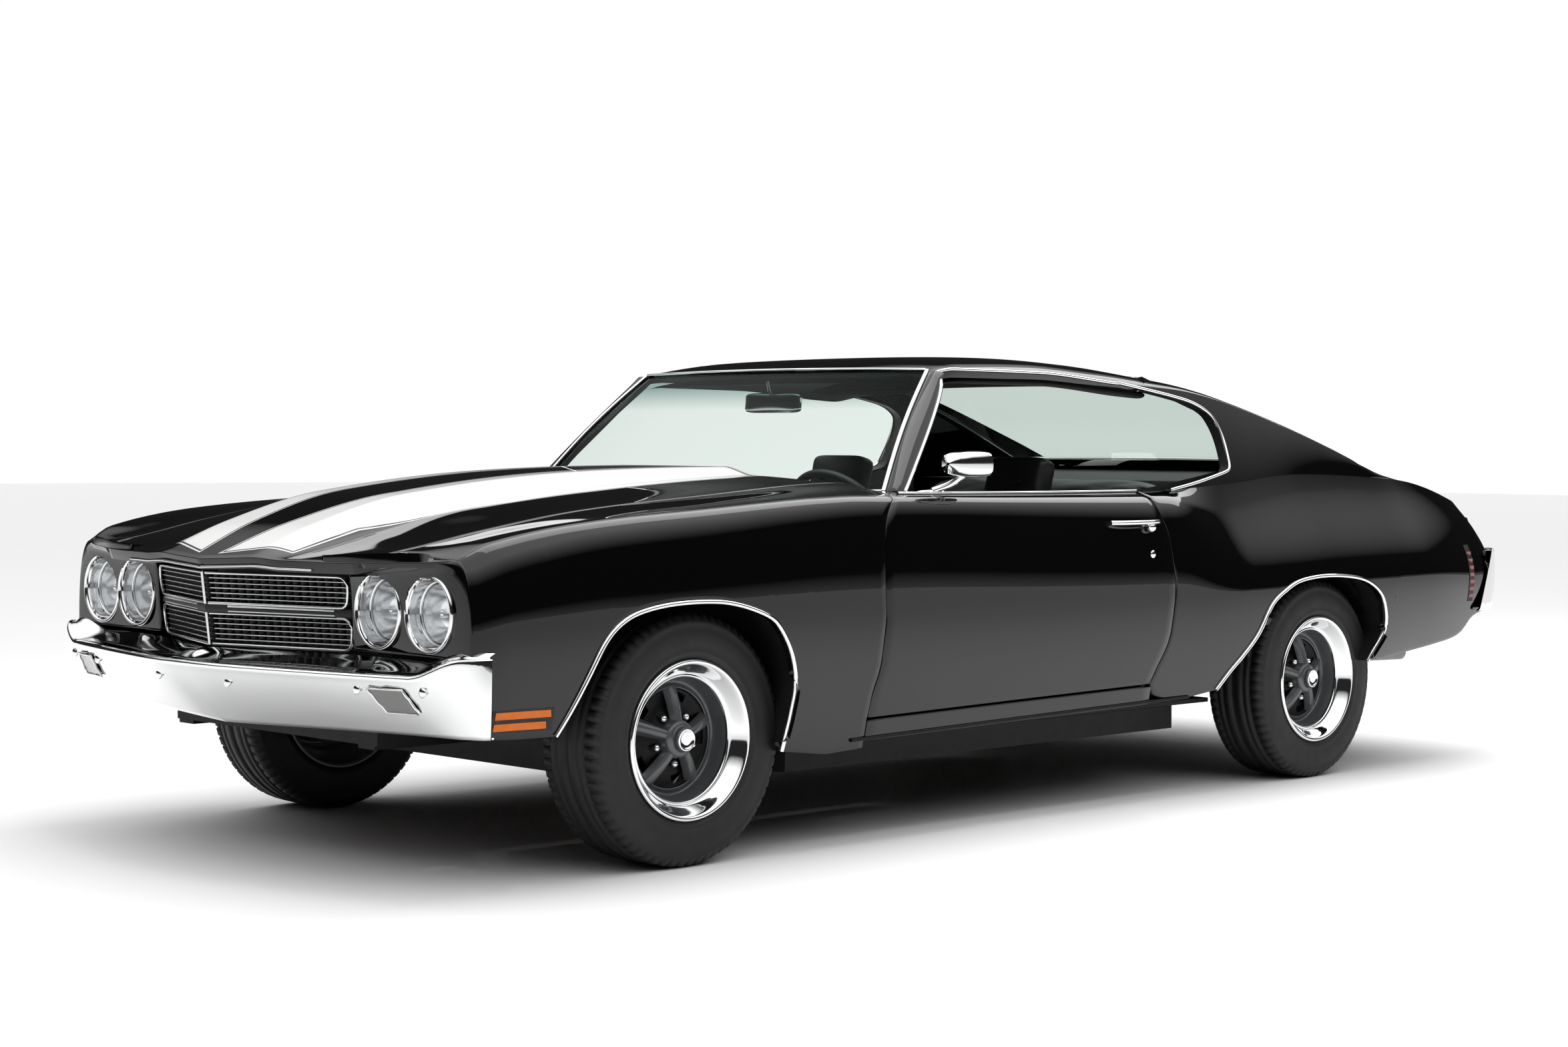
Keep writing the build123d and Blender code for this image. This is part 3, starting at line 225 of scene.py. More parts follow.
def fold_edges(bm, grid, verts, flange=FLANGE, fold=ROUND, inward=None, plain=()):
    """Draw a panel's border inwards as a fold and a deep flange, except on the sides named plain."""
    rows, cols = len(grid), len(grid[0])
    ring = [(0, i) for i in range(cols)] + [(j, cols - 1) for j in range(1, rows)]
    ring += [(rows - 1, i) for i in range(cols - 2, -1, -1)] + [(j, 0) for j in range(rows - 2, 0, -1)]
    sides = ["low"] * (cols - 1) + ["end"] * (rows - 1) + ["high"] * (cols - 1) + ["start"] * (rows - 1)

    def normal(j, i):
        a = grid[min(j + 1, rows - 1)][i] - grid[max(j - 1, 0)][i]
        b = grid[j][min(i + 1, cols - 1)] - grid[j][max(i - 1, 0)]
        n = b.cross(a)
        return n.normalized() if n.length > 1e-9 else Vector((0, 0, 1))

    def outward(j, i):
        inner = grid[min(max(j, 1), rows - 2)][min(max(i, 1), cols - 2)]
        d = grid[j][i] - inner
        return d.normalized() if d.length > 1e-9 else Vector((0, 0, 0))

    sign = 1
    if inward is not None:
        mid = normal(rows // 2, cols // 2)
        sign = 1 if mid.dot(Vector(inward)) > 0 else -1
    loops = [[verts[j][i] for j, i in ring]]
    for depth, out in ((fold * 0.3, fold * 0.7), (fold, fold), (flange, fold)):
        loop = []
        for j, i in ring:
            loop.append(bm.verts.new(grid[j][i] + normal(j, i) * (sign * depth) + outward(j, i) * out))
        loops.append(loop)
    for a, b in zip(loops[:-1], loops[1:]):
        for k in range(len(a)):
            n = (k + 1) % len(a)
            if sides[k] not in plain:
                bm.faces.new((a[k], a[n], b[n], b[k]))


def flipped(line, way=-1):
    """The same line on the other side of the car, or on the side that way names."""
    return [Vector((p.x, way * p.y, p.z)) for p in line]


def mirrored(grid):
    """The same grid on the other side of the car."""
    return [flipped(row) for row in grid]


print("mesh helpers ready")

# %% [markdown]
# Every finish is built from nodes, so it needs no picture files. Node sums are hard to read when they are
# wired one by one, so a small class wraps a socket and lets ordinary signs such as + and * make the maths
# nodes.

# %% Shader sums in plain notation


class Sock:
    """A shader value that can be added, multiplied and compared like a number."""

    def __init__(self, tree, value):
        self.tree = tree
        self.value = value

    def sum(self, kind, other=0.0, third=0.0):
        node = self.tree.nodes.new("ShaderNodeMath")
        node.operation = kind
        for place, item in enumerate((self, other, third)):
            item = item.value if isinstance(item, Sock) else item
            if isinstance(item, bpy.types.NodeSocket):
                self.tree.links.new(item, node.inputs[place])
            else:
                node.inputs[place].default_value = item
        return Sock(self.tree, node.outputs[0])

    def __add__(self, other):
        return self.sum("ADD", other)

    def __sub__(self, other):
        return self.sum("SUBTRACT", other)

    def __mul__(self, other):
        return self.sum("MULTIPLY", other)

    def __gt__(self, other):
        return self.sum("GREATER_THAN", other)

    def __lt__(self, other):
        return self.sum("LESS_THAN", other)

    def size(self):
        return self.sum("ABSOLUTE")

    def wave(self):
        return self.sum("SINE")

    def ramp(self, start, stop):
        """0 before start, 1 after stop, straight between."""
        scaled = (self - start) * (1.0 / (stop - start))
        return scaled.sum("MAXIMUM", 0.0).sum("MINIMUM", 1.0)


def new_material(name):
    """Empty node material with its shader, and its object coordinates as three sockets."""
    mat = bpy.data.materials.new(name)
    mat.use_nodes = True
    tree = mat.node_tree
    shader = tree.nodes["Principled BSDF"]
    coord = tree.nodes.new("ShaderNodeTexCoord").outputs["Object"]
    parts = tree.nodes.new("ShaderNodeSeparateXYZ")
    tree.links.new(coord, parts.inputs[0])
    axes = [Sock(tree, parts.outputs[k]) for k in range(3)]
    return mat, tree, shader, coord, axes


def noise(tree, coord, scale, detail=3.0):
    """Cloudy value from 0 to 1 in object space."""
    node = tree.nodes.new("ShaderNodeTexNoise")
    node.inputs["Scale"].default_value = scale
    node.inputs["Detail"].default_value = detail
    tree.links.new(coord, node.inputs["Vector"])
    return Sock(tree, node.outputs["Fac"])


def mix_colours(tree, amount, first, second):
    """Colour that goes from first to second as amount goes from 0 to 1."""
    node = tree.nodes.new("ShaderNodeMix")
    node.data_type = "RGBA"
    tree.links.new(amount.value, node.inputs["Factor"])
    for socket, colour in ((node.inputs[6], first), (node.inputs[7], second)):
        if isinstance(colour, bpy.types.NodeSocket):
            tree.links.new(colour, socket)
        else:
            socket.default_value = (*colour, 1)
    return node.outputs[2]


def bump(tree, shader, height, strength, distance):
    """Small relief in the shader's normal."""
    node = tree.nodes.new("ShaderNodeBump")
    node.inputs["Strength"].default_value = strength
    node.inputs["Distance"].default_value = distance
    tree.links.new(height.value, node.inputs["Height"])
    tree.links.new(node.outputs[0], shader.inputs["Normal"])


def finish_of(name, colour, rough, metal=0.0, coat=0.0, cloud=60.0, vary=0.05, grain=None, spec=0.5,
              shade=0.1):
    """Plain finish with cloudy roughness and colour; grain is (scale, strength, depth in metres)."""
    mat, tree, shader, coord, axes = new_material(name)
    clouds = noise(tree, coord, cloud)
    darker = tuple(c * (1 - shade) for c in colour)
    tree.links.new(mix_colours(tree, clouds, colour, darker), shader.inputs["Base Color"])
    tree.links.new(((clouds - 0.5) * vary + rough).value, shader.inputs["Roughness"])
    shader.inputs["Metallic"].default_value = metal
    shader.inputs["Coat Weight"].default_value = coat
    shader.inputs["Coat Roughness"].default_value = 0.02
    shader.inputs["Specular IOR Level"].default_value = spec
    if grain:
        bump(tree, shader, noise(tree, coord, grain[0], 2.0), grain[1], grain[2])
    return mat


# %% [markdown]
# Gloss black paint is almost nothing but its clear coat: the colour underneath swallows the light and the
# coat mirrors the room. Chrome is a bright metal with hardly any roughness. Rubber, vinyl and cast parts
# get a fine grain, because a perfectly smooth dark surface looks like plastic.

# %% Finishes
PAINT_BLACK = (0.0016, 0.0016, 0.0018)
STRIPE_WHITE = (0.74, 0.74, 0.735)
paint = finish_of("paint_black", PAINT_BLACK, 0.06, coat=1.0, cloud=4, vary=0.01, spec=0.0)
chrome = finish_of("chrome", (0.86, 0.865, 0.87), 0.05, metal=1.0, cloud=9, vary=0.03, shade=0.04)
bright = finish_of("bright_trim", (0.72, 0.73, 0.74), 0.14, metal=1.0, cloud=20, vary=0.06)
wheel_grey = finish_of("wheel_charcoal", (0.105, 0.110, 0.116), 0.34, metal=0.4, coat=0.35, cloud=40,
                       vary=0.08)
gap_black = finish_of("gap_black", (0.006, 0.006, 0.006), 0.55, cloud=30, vary=0.2)
satin_black = finish_of("satin_black", (0.004, 0.004, 0.0042), 0.45, spec=0.2, cloud=30, vary=0.15)
rubber = finish_of("tyre_rubber", (0.0065, 0.0065, 0.007), 0.60, cloud=25, vary=0.18,
                   grain=(900, 0.15, 0.0006), shade=0.25)
vinyl = finish_of("vinyl_black", (0.013, 0.013, 0.014), 0.42, cloud=12, vary=0.12,
                  grain=(520, 0.35, 0.0005))
dash_pad = finish_of("dash_pad", (0.012, 0.012, 0.012), 0.5, cloud=20, vary=0.1, grain=(420, 0.3, 0.0005))
steel = finish_of("raw_steel", (0.20, 0.195, 0.19), 0.45, metal=0.8, cloud=18, vary=0.25,
                  grain=(160, 0.25, 0.001))
cast_iron = finish_of("cast_iron", (0.045, 0.044, 0.043), 0.6, metal=0.4, cloud=25, vary=0.2,
                      grain=(240, 0.5, 0.001))
engine_red = finish_of("engine_enamel", (0.33, 0.055, 0.02), 0.35, cloud=10, vary=0.1,
                       grain=(140, 0.2, 0.001))
smoked_lens = finish_of("smoked_lens", (0.16, 0.16, 0.155), 0.15, coat=0.8, cloud=50, vary=0.05)
amber = finish_of("amber_lens", (0.80, 0.17, 0.004), 0.2, coat=0.3, spec=0.2, cloud=50, vary=0.05,
                  shade=0.3)
red_lens = finish_of("red_lens", (0.33, 0.006, 0.006), 0.14, coat=0.9, cloud=50, vary=0.05, shade=0.3)
white_lens = finish_of("white_lens", (0.62, 0.63, 0.64), 0.12, metal=0.35, coat=1.0, cloud=30, vary=0.05)
silvered = finish_of("silvered_bowl", (0.92, 0.93, 0.94), 0.14, metal=1.0, cloud=30, vary=0.08, shade=0.04)
headliner = finish_of("headliner", (0.03, 0.03, 0.031), 0.8, cloud=60, vary=0.1, grain=(600, 0.4, 0.0008))


def clear_glass(name, tint, band_from=None, band_to=None):
    """Window glass: tinted, brighter in glancing light, and darker above an optional band."""
    mat, tree, shader, coord, axes = new_material(name)
    shader.inputs["Base Color"].default_value = (0.02, 0.03, 0.025, 1)
    shader.inputs["Roughness"].default_value = 0.03
    shader.inputs["Coat Weight"].default_value = 1.0
    through = tree.nodes.new("ShaderNodeBsdfTransparent")
    through.inputs["Color"].default_value = (*tint, 1)
    facing = tree.nodes.new("ShaderNodeLayerWeight")
    facing.inputs["Blend"].default_value = 0.5
    amount = Sock(tree, facing.outputs["Facing"]).sum("POWER", 4.0) * 0.55 + 0.03
    speck = (noise(tree, coord, 30) - 0.5) * 0.01
    body = through.outputs[0]
    if band_from is not None:
        shade = tree.nodes.new("ShaderNodeBsdfTransparent")
        shade.inputs["Color"].default_value = (0.30, 0.42, 0.40, 1)
        blend = tree.nodes.new("ShaderNodeMixShader")
        tree.links.new(axes[2].ramp(band_from, band_to).value, blend.inputs[0])
        tree.links.new(through.outputs[0], blend.inputs[1])
        tree.links.new(shade.outputs[0], blend.inputs[2])
        body = blend.outputs[0]
    mix = tree.nodes.new("ShaderNodeMixShader")
    tree.links.new((amount + speck).value, mix.inputs[0])
    tree.links.new(body, mix.inputs[1])
    tree.links.new(shader.outputs[0], mix.inputs[2])
    tree.links.new(mix.outputs[0], tree.nodes["Material Output"].inputs["Surface"])
    return mat


shield_glass = clear_glass("shield_glass", (0.80, 0.88, 0.84), 1.20, 1.27)
window_glass = clear_glass("window_glass", (0.70, 0.80, 0.75))
print("finishes", len(bpy.data.materials))

# %% [markdown]
# The lower body is one long sculpted surface from the nose to the tail: it bulges out to a waist near half
# height, rolls over a soft shoulder to a crown, and goes in to the hood or the deck. Stylists drew it as
# sections along the car, and so does this table. Each row gives one section: height and half width at the
# sill, at the waist and at the crown. The panels are then cut out of that one surface, so that highlights
# run across the gaps without a break.

# %% Body sections
STATIONS = (
    (fx(930), 380, 830, 600, 880, 780, 800),
    (fx(763), 380, 850, 600, 893, 802, 825),
    (fx(658), 375, 885, 620, 925, 850, 850),
    (fx(378), 330, 900, 630, 944, 897, 868),
    (fx(0), 300, 905, 630, 948, 925, 870),
    (fx(-662), 270, 895, 620, 935, 958, 862),
    (fx(-1322), 285, 893, 615, 928, 956, 838),
    (rx(882), 295, 895, 620, 932, 958, 815),
    (rx(422), 305, 900, 640, 945, 980, 800),
    (rx(0), 320, 905, 650, 953, 1010, 785),
    (rx(-578), 400, 890, 660, 945, 993, 770),
    (rx(-1028), 430, 860, 640, 900, 912, 750),
    (rx(-1118), 480, 830, 640, 872, 800, 760),
)
SECTION = [smooth_table([(row[0], row[k]) for row in STATIONS]) for k in range(1, 7)]
EDGE_Y = smooth_table([(fx(840), 570), (fx(793), 600), (fx(-728), 690), (fx(-1322), 700), (rx(-285), 640),
                       (rx(-1118), 640)])
EDGE_Z = smooth_table([
    (fx(840), 797), (fx(793), 812), (fx(650), 840), (fx(488), 872), (fx(182), 920), (fx(-193), 953),
    (fx(-728), 988),
    (fx(-1322), 990), (rx(422), 1010), (rx(-285), 1021), (rx(-400), 1018), (rx(-578), 1005),
    (rx(-800), 972),
    (rx(-1028), 918), (rx(-1118), 812)])
SAIL = smooth_table([(rx(880), 0), (rx(820), 0.03), (rx(450), 1), (rx(-420), 1), (rx(-1118), 0.6)])


def bezier(p0, p1, p2, p3, t):
    """Point of a two-dimensional cubic curve."""
    s = 1 - t
    return [a * s ** 3 + 3 * b * s * s * t + 3 * c * s * t * t + d * t ** 3
            for a, b, c, d in zip(p0, p1, p2, p3)]


def side(x, w):
    """Point of the left side: w is 0 at the sill, 1 at the waist, 2 at the crown, 3 at the lid's edge."""
    low_z, low_y, waist_z, waist_y, crown_z, crown_y = [read(x) for read in SECTION]
    if w <= 1:
        y = waist_y - (waist_y - low_y) * (1 - w) ** 1.9
        return Vector((x, y, low_z + (waist_z - low_z) * w))
    if w <= 2:
        rise, lean = crown_z - waist_z, waist_y - crown_y
        sail = min(max(SAIL(x), 0), 1)
        low_pull = (waist_y, waist_z + (0.72 - 0.42 * sail) * rise)
        top_pull = (crown_y + (0.62 - 0.34 * sail) * lean, crown_z - 0.35 * rise * sail)
        y, z = bezier((waist_y, waist_z), low_pull, top_pull, (crown_y, crown_z), w - 1)
        return Vector((x, y, z))
    edge_y, edge_z = EDGE_Y(x), EDGE_Z(x)
    gap = crown_y - edge_y
    y, z = bezier((crown_y, crown_z), (crown_y - 0.4 * gap, crown_z), (edge_y + 0.35 * gap, edge_z),
                  (edge_y, edge_z), w - 2)
    return Vector((x, y, z))


def level(x, z):
    """The w at which the body side has height z."""
    low, high = -0.4, 2.0
    for _ in range(26):
        mid = (low + high) / 2
        if side(x, mid).z < z:
            low = mid
        else:
            high = mid
    return (low + high) / 2


def flat(points, count, rounded=True):
    """Line given by (x, z) on the body side, as evenly spread points in the flat (x, w) drawing."""
    line = spread([(x, z, 0) for x, z in points], count, rounded)
    return [Vector((p.x, level(p.x, p.y), 0)) for p in line]


def lifted(grid):
    """Bend a grid of the flat (x, w) drawing onto the body side."""
    return [[side(p.x, p.y) for p in row] for row in grid]


print("crown at the door", [round(c) for c in side(fx(-1322), 2)])

# %% [markdown]
# The front fender reaches from the lamp panel to the door. Its lower edge climbs over the wheel: that
# opening was traced as a line of points, flatter on top and steeper behind than a circle. The door's front
# gap leans and curves, and the fender ends just short of it.

# %% Front fenders
GAP = 3.0
FRONT_ARCH = (
    (485, 378), (447, 447), (405, 526), (363, 598), (319, 641), (254, 671), (142, 689), (4, 691),
    (-91, 679),
    (-187, 651), (-237, 621), (-287, 550), (-312, 470), (-308, 399), (-299, 329), (-294, 283))
DOOR_FRONT = ((-749, 957), (-702, 915), (-677, 870), (-665, 800), (-662, 700), (-665, 630), (-657, 559),
              (-648, 487),
              (-625, 415), (-617, 346))
DOOR_REAR = ((916, 955), (909, 894), (888, 831), (879, 747), (870, 664), (879, 582), (895, 501),
             (941, 421), (967, 366))
FENDER_FRONT = fx(736)

arch_front = [(fx(x), z) for x, z in FRONT_ARCH]
door_front = [(fx(x), z) for x, z in DOOR_FRONT]
door_rear = [(rx(x), z) for x, z in DOOR_REAR]


def panel(grid, name, material, body, replaces=(), flange=FLANGE, plain=(), bodies=None,
          nodes=None):
    """Folded panel from a grid on the left side, and the same on the right."""
    made = []
    for hand, shape in (("left", grid), ("right", mirrored(grid))):
        bm = bmesh.new()
        verts = add_grid(bm, shape)
        fold_edges(bm, shape, verts, flange, inward=(0, -1 if hand == "left" else 1, -0.35), plain=plain)
        where = bodies[hand] if bodies else body
        made.append(finish_piece(bm, hand + "_" + name, material, where,
                                 nodes[hand] if nodes else replaces))
    return made


fender_low = join(
    flat([(FENDER_FRONT, 384), (fx(600), 378), arch_front[0]], 10, False),
    flat(arch_front, 60),
    flat([arch_front[-1], (fx(-470), 262), (fx(-612), 268)], 14, False))
count = len(fender_low) - 1
fender_top = [Vector((p.x, 3.0, 0)) for p in spread([(FENDER_FRONT, 0, 0), (fx(-742), 0, 0)], count, False)]
fender_rear = join(
    flat([(fx(-612), 268), (fx(-612), 346)], 6, False),
    flat([(x + GAP, z) for x, z in reversed(door_front)], 34),
    [Vector((fx(-746) + 4 * k / 10, 2.0 + k / 10, 0)) for k in range(11)])
fender_rear[-1] = fender_top[-1].copy()
fender_head = spread([(FENDER_FRONT, fender_low[0].y, 0), (FENDER_FRONT, 3.0, 0)], len(fender_rear) - 1,
                     False)
fender_grid = lifted(patch(fender_low, fender_top, fender_head, fender_rear))
panel(fender_grid, "fender_skin", paint, "body",
      nodes={"left": ("left_fender",), "right": ("right_fender",)})
print("fender points", len(fender_grid) * len(fender_grid[0]))

# %% [markdown]
# The door carries the belt line: its top is the sill of the side window, with a thin bright strip. Its skin
# is cut from the same surface. Its deep folded edges make it as thick as the real one, and the trim board
# inside it comes later.

# %% Doors
front_line = flat([(x - GAP, max(z, 352)) for x, z in reversed(door_front)], 40)
rear_line = flat([(x + GAP, max(z, 372)) for x, z in reversed(door_rear)], 40)
door_low = flat([(fx(-617) - GAP, 352), (rx(967) + GAP, 372)], 40, False)
door_low[0], door_low[-1] = front_line[0].copy(), rear_line[0].copy()
front_line[-1].y = 2.0
rear_line[-1].y = 2.0
door_top = spread([front_line[-1], rear_line[-1]], 40, False)
door_grid = lifted(patch(door_low, door_top, front_line, rear_line))
DOORS = {"left": "left_door", "right": "right_door"}
panel(door_grid, "door_skin", paint, "", flange=105, bodies=DOORS,
      nodes={"left": ("left_door",), "right": ("right_door",)})
print("door length", round(door_top[0].x - door_top[-1].x))

# %% [markdown]
# The rear quarter is one big pressing: it starts behind the door, arches over the rear wheel and runs to
# the bumper. Under the door a narrow rocker joins it to the fender. The roof pillar grows out of its crown,
# so near the pillar the section keeps leaning in instead of turning flat.

# %% Quarter panels and rockers
REAR_ARCH = (
    (620, 332), (564, 388), (502, 440), (438, 503), (375, 595), (301, 640), (226, 666), (112, 678),
    (-5, 677),
    (-125, 664), (-207, 637), (-265, 595), (-300, 525), (-301, 480), (-253, 414), (-234, 381))
arch_rear = [(rx(x), z) for x, z in REAR_ARCH]


def step(value, low=0.0, high=1.0):
    """Smooth step from 0 at low to 1 at high."""
    t = min(max((value - low) / (high - low), 0.0), 1.0)
    return t * t * (3 - 2 * t)


TAIL_X = rx(-1088)
quarter_low = join(
    flat([(rx(967) - GAP, 372), (rx(935), 335), (rx(800), 316), arch_rear[0]], 18),
    flat(arch_rear, 60),
    flat([arch_rear[-1], (rx(-420), 392), (rx(-683), 415), (rx(-860), 442), (rx(-930), 500),
          (rx(-1020), 522), (TAIL_X, 530)], 30))
count = len(quarter_low) - 1
quarter_front = flat([(x - GAP, max(z, 372)) for x, z in reversed(door_rear)], 40)
quarter_front[-1].y = 2.0
quarter_low[0] = quarter_front[0].copy()
quarter_top = spread([quarter_front[-1], (TAIL_X, 2.0, 0)], count, False)
quarter_tail = spread([quarter_low[-1], quarter_top[-1]], 40, False)
quarter_grid = lifted(patch(quarter_low, quarter_top, quarter_front, quarter_tail))
panel(quarter_grid, "quarter_skin", paint, "body", plain=("high",),
      nodes={"left": ("body_shell",), "right": ()})

rocker_top = flat([(fx(-620), 342), (rx(960), 362)], 30, False)
rocker_low = flat([(fx(-620), 288), (rx(960), 308)], 30, False)
rocker_grid = lifted(patch(rocker_low, rocker_top, spread([rocker_low[0], rocker_top[0]], 8, False),
                           spread([rocker_low[-1], rocker_top[-1]], 8, False)))
panel(rocker_grid, "rocker", paint, "body", flange=40)

for arch, axle, name in ((arch_front, fx(0), "front_wheel_well"), (arch_rear, rx(0), "rear_wheel_well")):
    edge = [side(p.x, p.y) for p in flat(arch, 60)]
    well = []
    for k in range(9):
        row = []
        for i, p in enumerate(edge):
            away = Vector((p.x - axle, 0, p.z - AXLE_Z)).normalized()
            row.append(Vector((p.x, p.y - 6 + (560 - p.y) * k / 8, p.z))
                       + away * ((2 + 34 * step(k / 3)) * min(1, i / 14, (60 - i) / 14)))
        well.append(row)
    for hand, grid in (("left", well), ("right", mirrored(well))):
        bm = bmesh.new()
        add_grid(bm, grid)
        finish_piece(bm, hand + "_" + name, gap_black, "body")
print("quarter points", len(quarter_grid) * len(quarter_grid[0]))

# %% [markdown]
# The hood has a wide raised dome that swells from the nose to the windshield, with a flat top and sloping
# flanks, and a front edge that is a shallow arrow in plan. Its height is a sum: a gently falling base plus
# the dome, which a smooth step fades out towards its flanks and its nose.

# %% Hood surface
HOOD_REAR = fx(-728)
BASE_MID = smooth_table([(fx(930), 786), (fx(795), 812), (fx(601), 858), (fx(301), 924), (fx(-67), 966),
                         (fx(-593), 1000), (fx(-770), 1006)])
DOME_TOP = smooth_table([(fx(930), 784), (fx(880), 806), (fx(700), 880), (fx(413), 956), (fx(-139), 1013),
                         (fx(-500), 1026), (fx(-770), 1030)])
DOME_FOOT = smooth_table([(fx(930), 318), (fx(413), 326), (fx(-770), 352)])


def hood_height(x, y):
    """Height of the hood skin."""
    y = abs(y)
    edge_y, edge_z = EDGE_Y(x), EDGE_Z(x)
    base = BASE_MID(x)
    slope = step(y, 300, edge_y + 40)
    ground = base + (edge_z - base) * slope
    foot = DOME_FOOT(x)
    rise = max(DOME_TOP(x) - base, 0)
    return ground + rise * (1 - step(y, foot - 128, foot))


HOOD_NOSE = smooth_table([(0, fx(915)), (200, fx(895)), (400, fx(864)), (560, fx(838)), (640, fx(822))])


def hood_grid(rows, cols):
    """Grid over the hood from its rear edge to its arrow nose."""
    grid = []
    for j in range(rows + 1):
        v = j / rows
        row = []
        for i in range(cols + 1):
            u = -1 + 2 * i / cols
            guess = HOOD_REAR + (fx(850) - HOOD_REAR) * v
            y = u * (EDGE_Y(guess) - GAP)
            x = HOOD_REAR + (HOOD_NOSE(abs(y)) - HOOD_REAR) * v
            y = u * (EDGE_Y(x) - GAP)
            row.append(Vector((x, y, hood_height(x, y))))
        grid.append(row)
    return grid


hood = hood_grid(90, 110)
print("hood length", round(HOOD_NOSE(0) - HOOD_REAR), "dome height",
      round(hood_height(fx(413), 0) - hood_height(fx(413), 400)))

# %% [markdown]
# The two broad white stripes are masked and sprayed over the black, each with a fine line round it.
# Painting them as loose sheets would fight with the hood skin, so the paint itself decides: a signed
# distance into the stripe, in object coordinates, is white inside and in a thin outline, and black
# everywhere else.

# %% Striped paint and the hood


def striped(name, inner, outer, ends):
    """Gloss black with a pair of white stripes, bounded by sums of x and the distance off centre."""
    mat, tree, shader, coord, (x, y, z) = new_material(name)
    off = y.size()
    inside = (off - inner(x)).sum("MINIMUM", outer(x) - off)
    for end in ends(x, off):
        inside = inside.sum("MINIMUM", end)
    white = (inside > 0.011) + (inside > 0.0) * (inside < 0.005)
    tree.links.new(mix_colours(tree, white, PAINT_BLACK, STRIPE_WHITE), shader.inputs["Base Color"])
    tree.links.new(((noise(tree, coord, 4.0) - 0.5) * 0.02 + 0.10).value, shader.inputs["Roughness"])
    shader.inputs["Coat Weight"].default_value = 1.0
    shader.inputs["Coat Roughness"].default_value = 0.02
    shader.inputs["Specular IOR Level"].default_value = 0.0
    return mat


hood_paint = striped(
    "paint_striped_hood",
    lambda x: x.ramp(fx(880) * MM, fx(380) * MM) * 0.080 + 0.044,
    lambda x: x.ramp(fx(620) * MM, fx(200) * MM) * 0.100 + 0.285,
    lambda x, off: ((off * -0.26 + fx(897) * MM) - x, x - (HOOD_REAR + 4) * MM))
bm = bmesh.new()
verts = add_grid(bm, hood)
fold_edges(bm, hood, verts, 30, inward=(0, 0, -1))
finish_piece(bm, "hood_skin", hood_paint, "hood", ("hood",))

cowl = [[Vector((fx(-712) - 90 * j / 8, 700 * (-1 + i / 15), 962 - 8 * (j > 1) + 4 * (i % 2) * (1 < j < 7)))
         for i in range(31)] for j in range(9)]
bm = bmesh.new()
add_grid(bm, cowl)
finish_piece(bm, "cowl_grille", satin_black, "body")

# %% [markdown]
# The greenhouse, the roof with its pillars, is a second surface. Each section is flat across the roof,
# rolls over at the drip rail and leans out to the crown of the body. The windshield is bent glass, most at
# its corners. A pillarless hardtop has no post behind the door, so the side is one long opening from the
# windshield to the sail panel.

# %% Greenhouse sections
ROOF_Z = smooth_table([
    (fx(-1095), 1322), (fx(-1250), 1358), (rx(1167), 1378), (rx(900), 1371), (rx(617), 1342),
    (rx(510), 1329),
    (rx(365), 1304), (rx(215), 1266), (rx(62), 1222), (rx(-95), 1175), (rx(-257), 1123), (rx(-422), 1065),
    (rx(-506), 1036), (rx(-592), 1012), (rx(-680), 993)])
RAIL_Z = smooth_table([
    (fx(-1127), 1300), (fx(-1251), 1322), (rx(1224), 1321), (rx(829), 1296), (rx(617), 1287),
    (rx(510), 1281),
    (rx(365), 1262), (rx(215), 1231), (rx(62), 1193), (rx(-95), 1147), (rx(-257), 1096), (rx(-422), 1040),
    (rx(-506), 1014), (rx(-592), 997), (rx(-680), 980)])
RAIL_Y = smooth_table([
    (fx(-1127), 640), (rx(1224), 664), (rx(829), 670), (rx(550), 668), (rx(368), 674), (rx(133), 694),
    (rx(-183), 734),
    (rx(-420), 760), (rx(-680), 768)])
NOTCH_Y = smooth_table([(rx(612), 575), (rx(-228), 648), (rx(-700), 652)])
VALLEY_Z = smooth_table([(rx(612), 1334), (rx(400), 1267), (rx(150), 1190), (rx(0), 1138),
                         (rx(-120), 1094), (rx(-215), 1060),
                         (rx(-260), 1044)])


def top(x, t):
    """Point of the left greenhouse: t is 0 on the middle line, 1 at the drip rail, 2 at the body crown."""
    rail_y, rail_z, mid_z = RAIL_Y(x), RAIL_Z(x), ROOF_Z(x)
    if t <= 1:
        drop = mid_z - rail_z
        y, z = bezier((0, mid_z), (0.62 * rail_y, mid_z), (0.955 * rail_y, rail_z + 0.78 * drop),
                      (rail_y, rail_z), t)
        return Vector((x, y, z))
    crown = side(x, 2.0)
    y, z = bezier((rail_y, rail_z), (rail_y * 0.62 + crown.y * 0.38 + 5, rail_z * 0.62 + crown.z * 0.38),
                  (rail_y * 0.3 + crown.y * 0.7 + 4, rail_z * 0.3 + crown.z * 0.7), (crown.y, crown.z),
                  t - 1)
    return Vector((x, y, z))


def find(x, want, axis, low, high):
    """The t between low and high where the greenhouse has the wanted y (axis 1) or z (axis 2)."""
    rising = axis == 1
    for _ in range(26):
        mid = (low + high) / 2
        if (top(x, mid)[axis] < want) == rising:
            low = mid
        else:
            high = mid
    return (low + high) / 2


def shield(u, v):
    """Point of the windshield: u from -1 right to 1 left, v from 0 at the cowl to 1 at the roof."""
    half = 752 + (612 - 752) * v
    bow = 92 + (50 - 92) * v
    x = fx(-748) + (fx(-1124) - fx(-748)) * v
    x = x - bow * abs(u) ** 2.3 + 10 * math.sin(math.pi * v)
    z = 952 + (1320 - 952) * v + (10 - 16 * v) * abs(u) ** 2 + 10 * math.sin(math.pi * v)
    return Vector((x, half * u, z))


def lift_top(grid):
    """Bend a grid of the flat (x, t) drawing onto the greenhouse."""
    return [[top(p.x, p.y) for p in row] for row in grid]


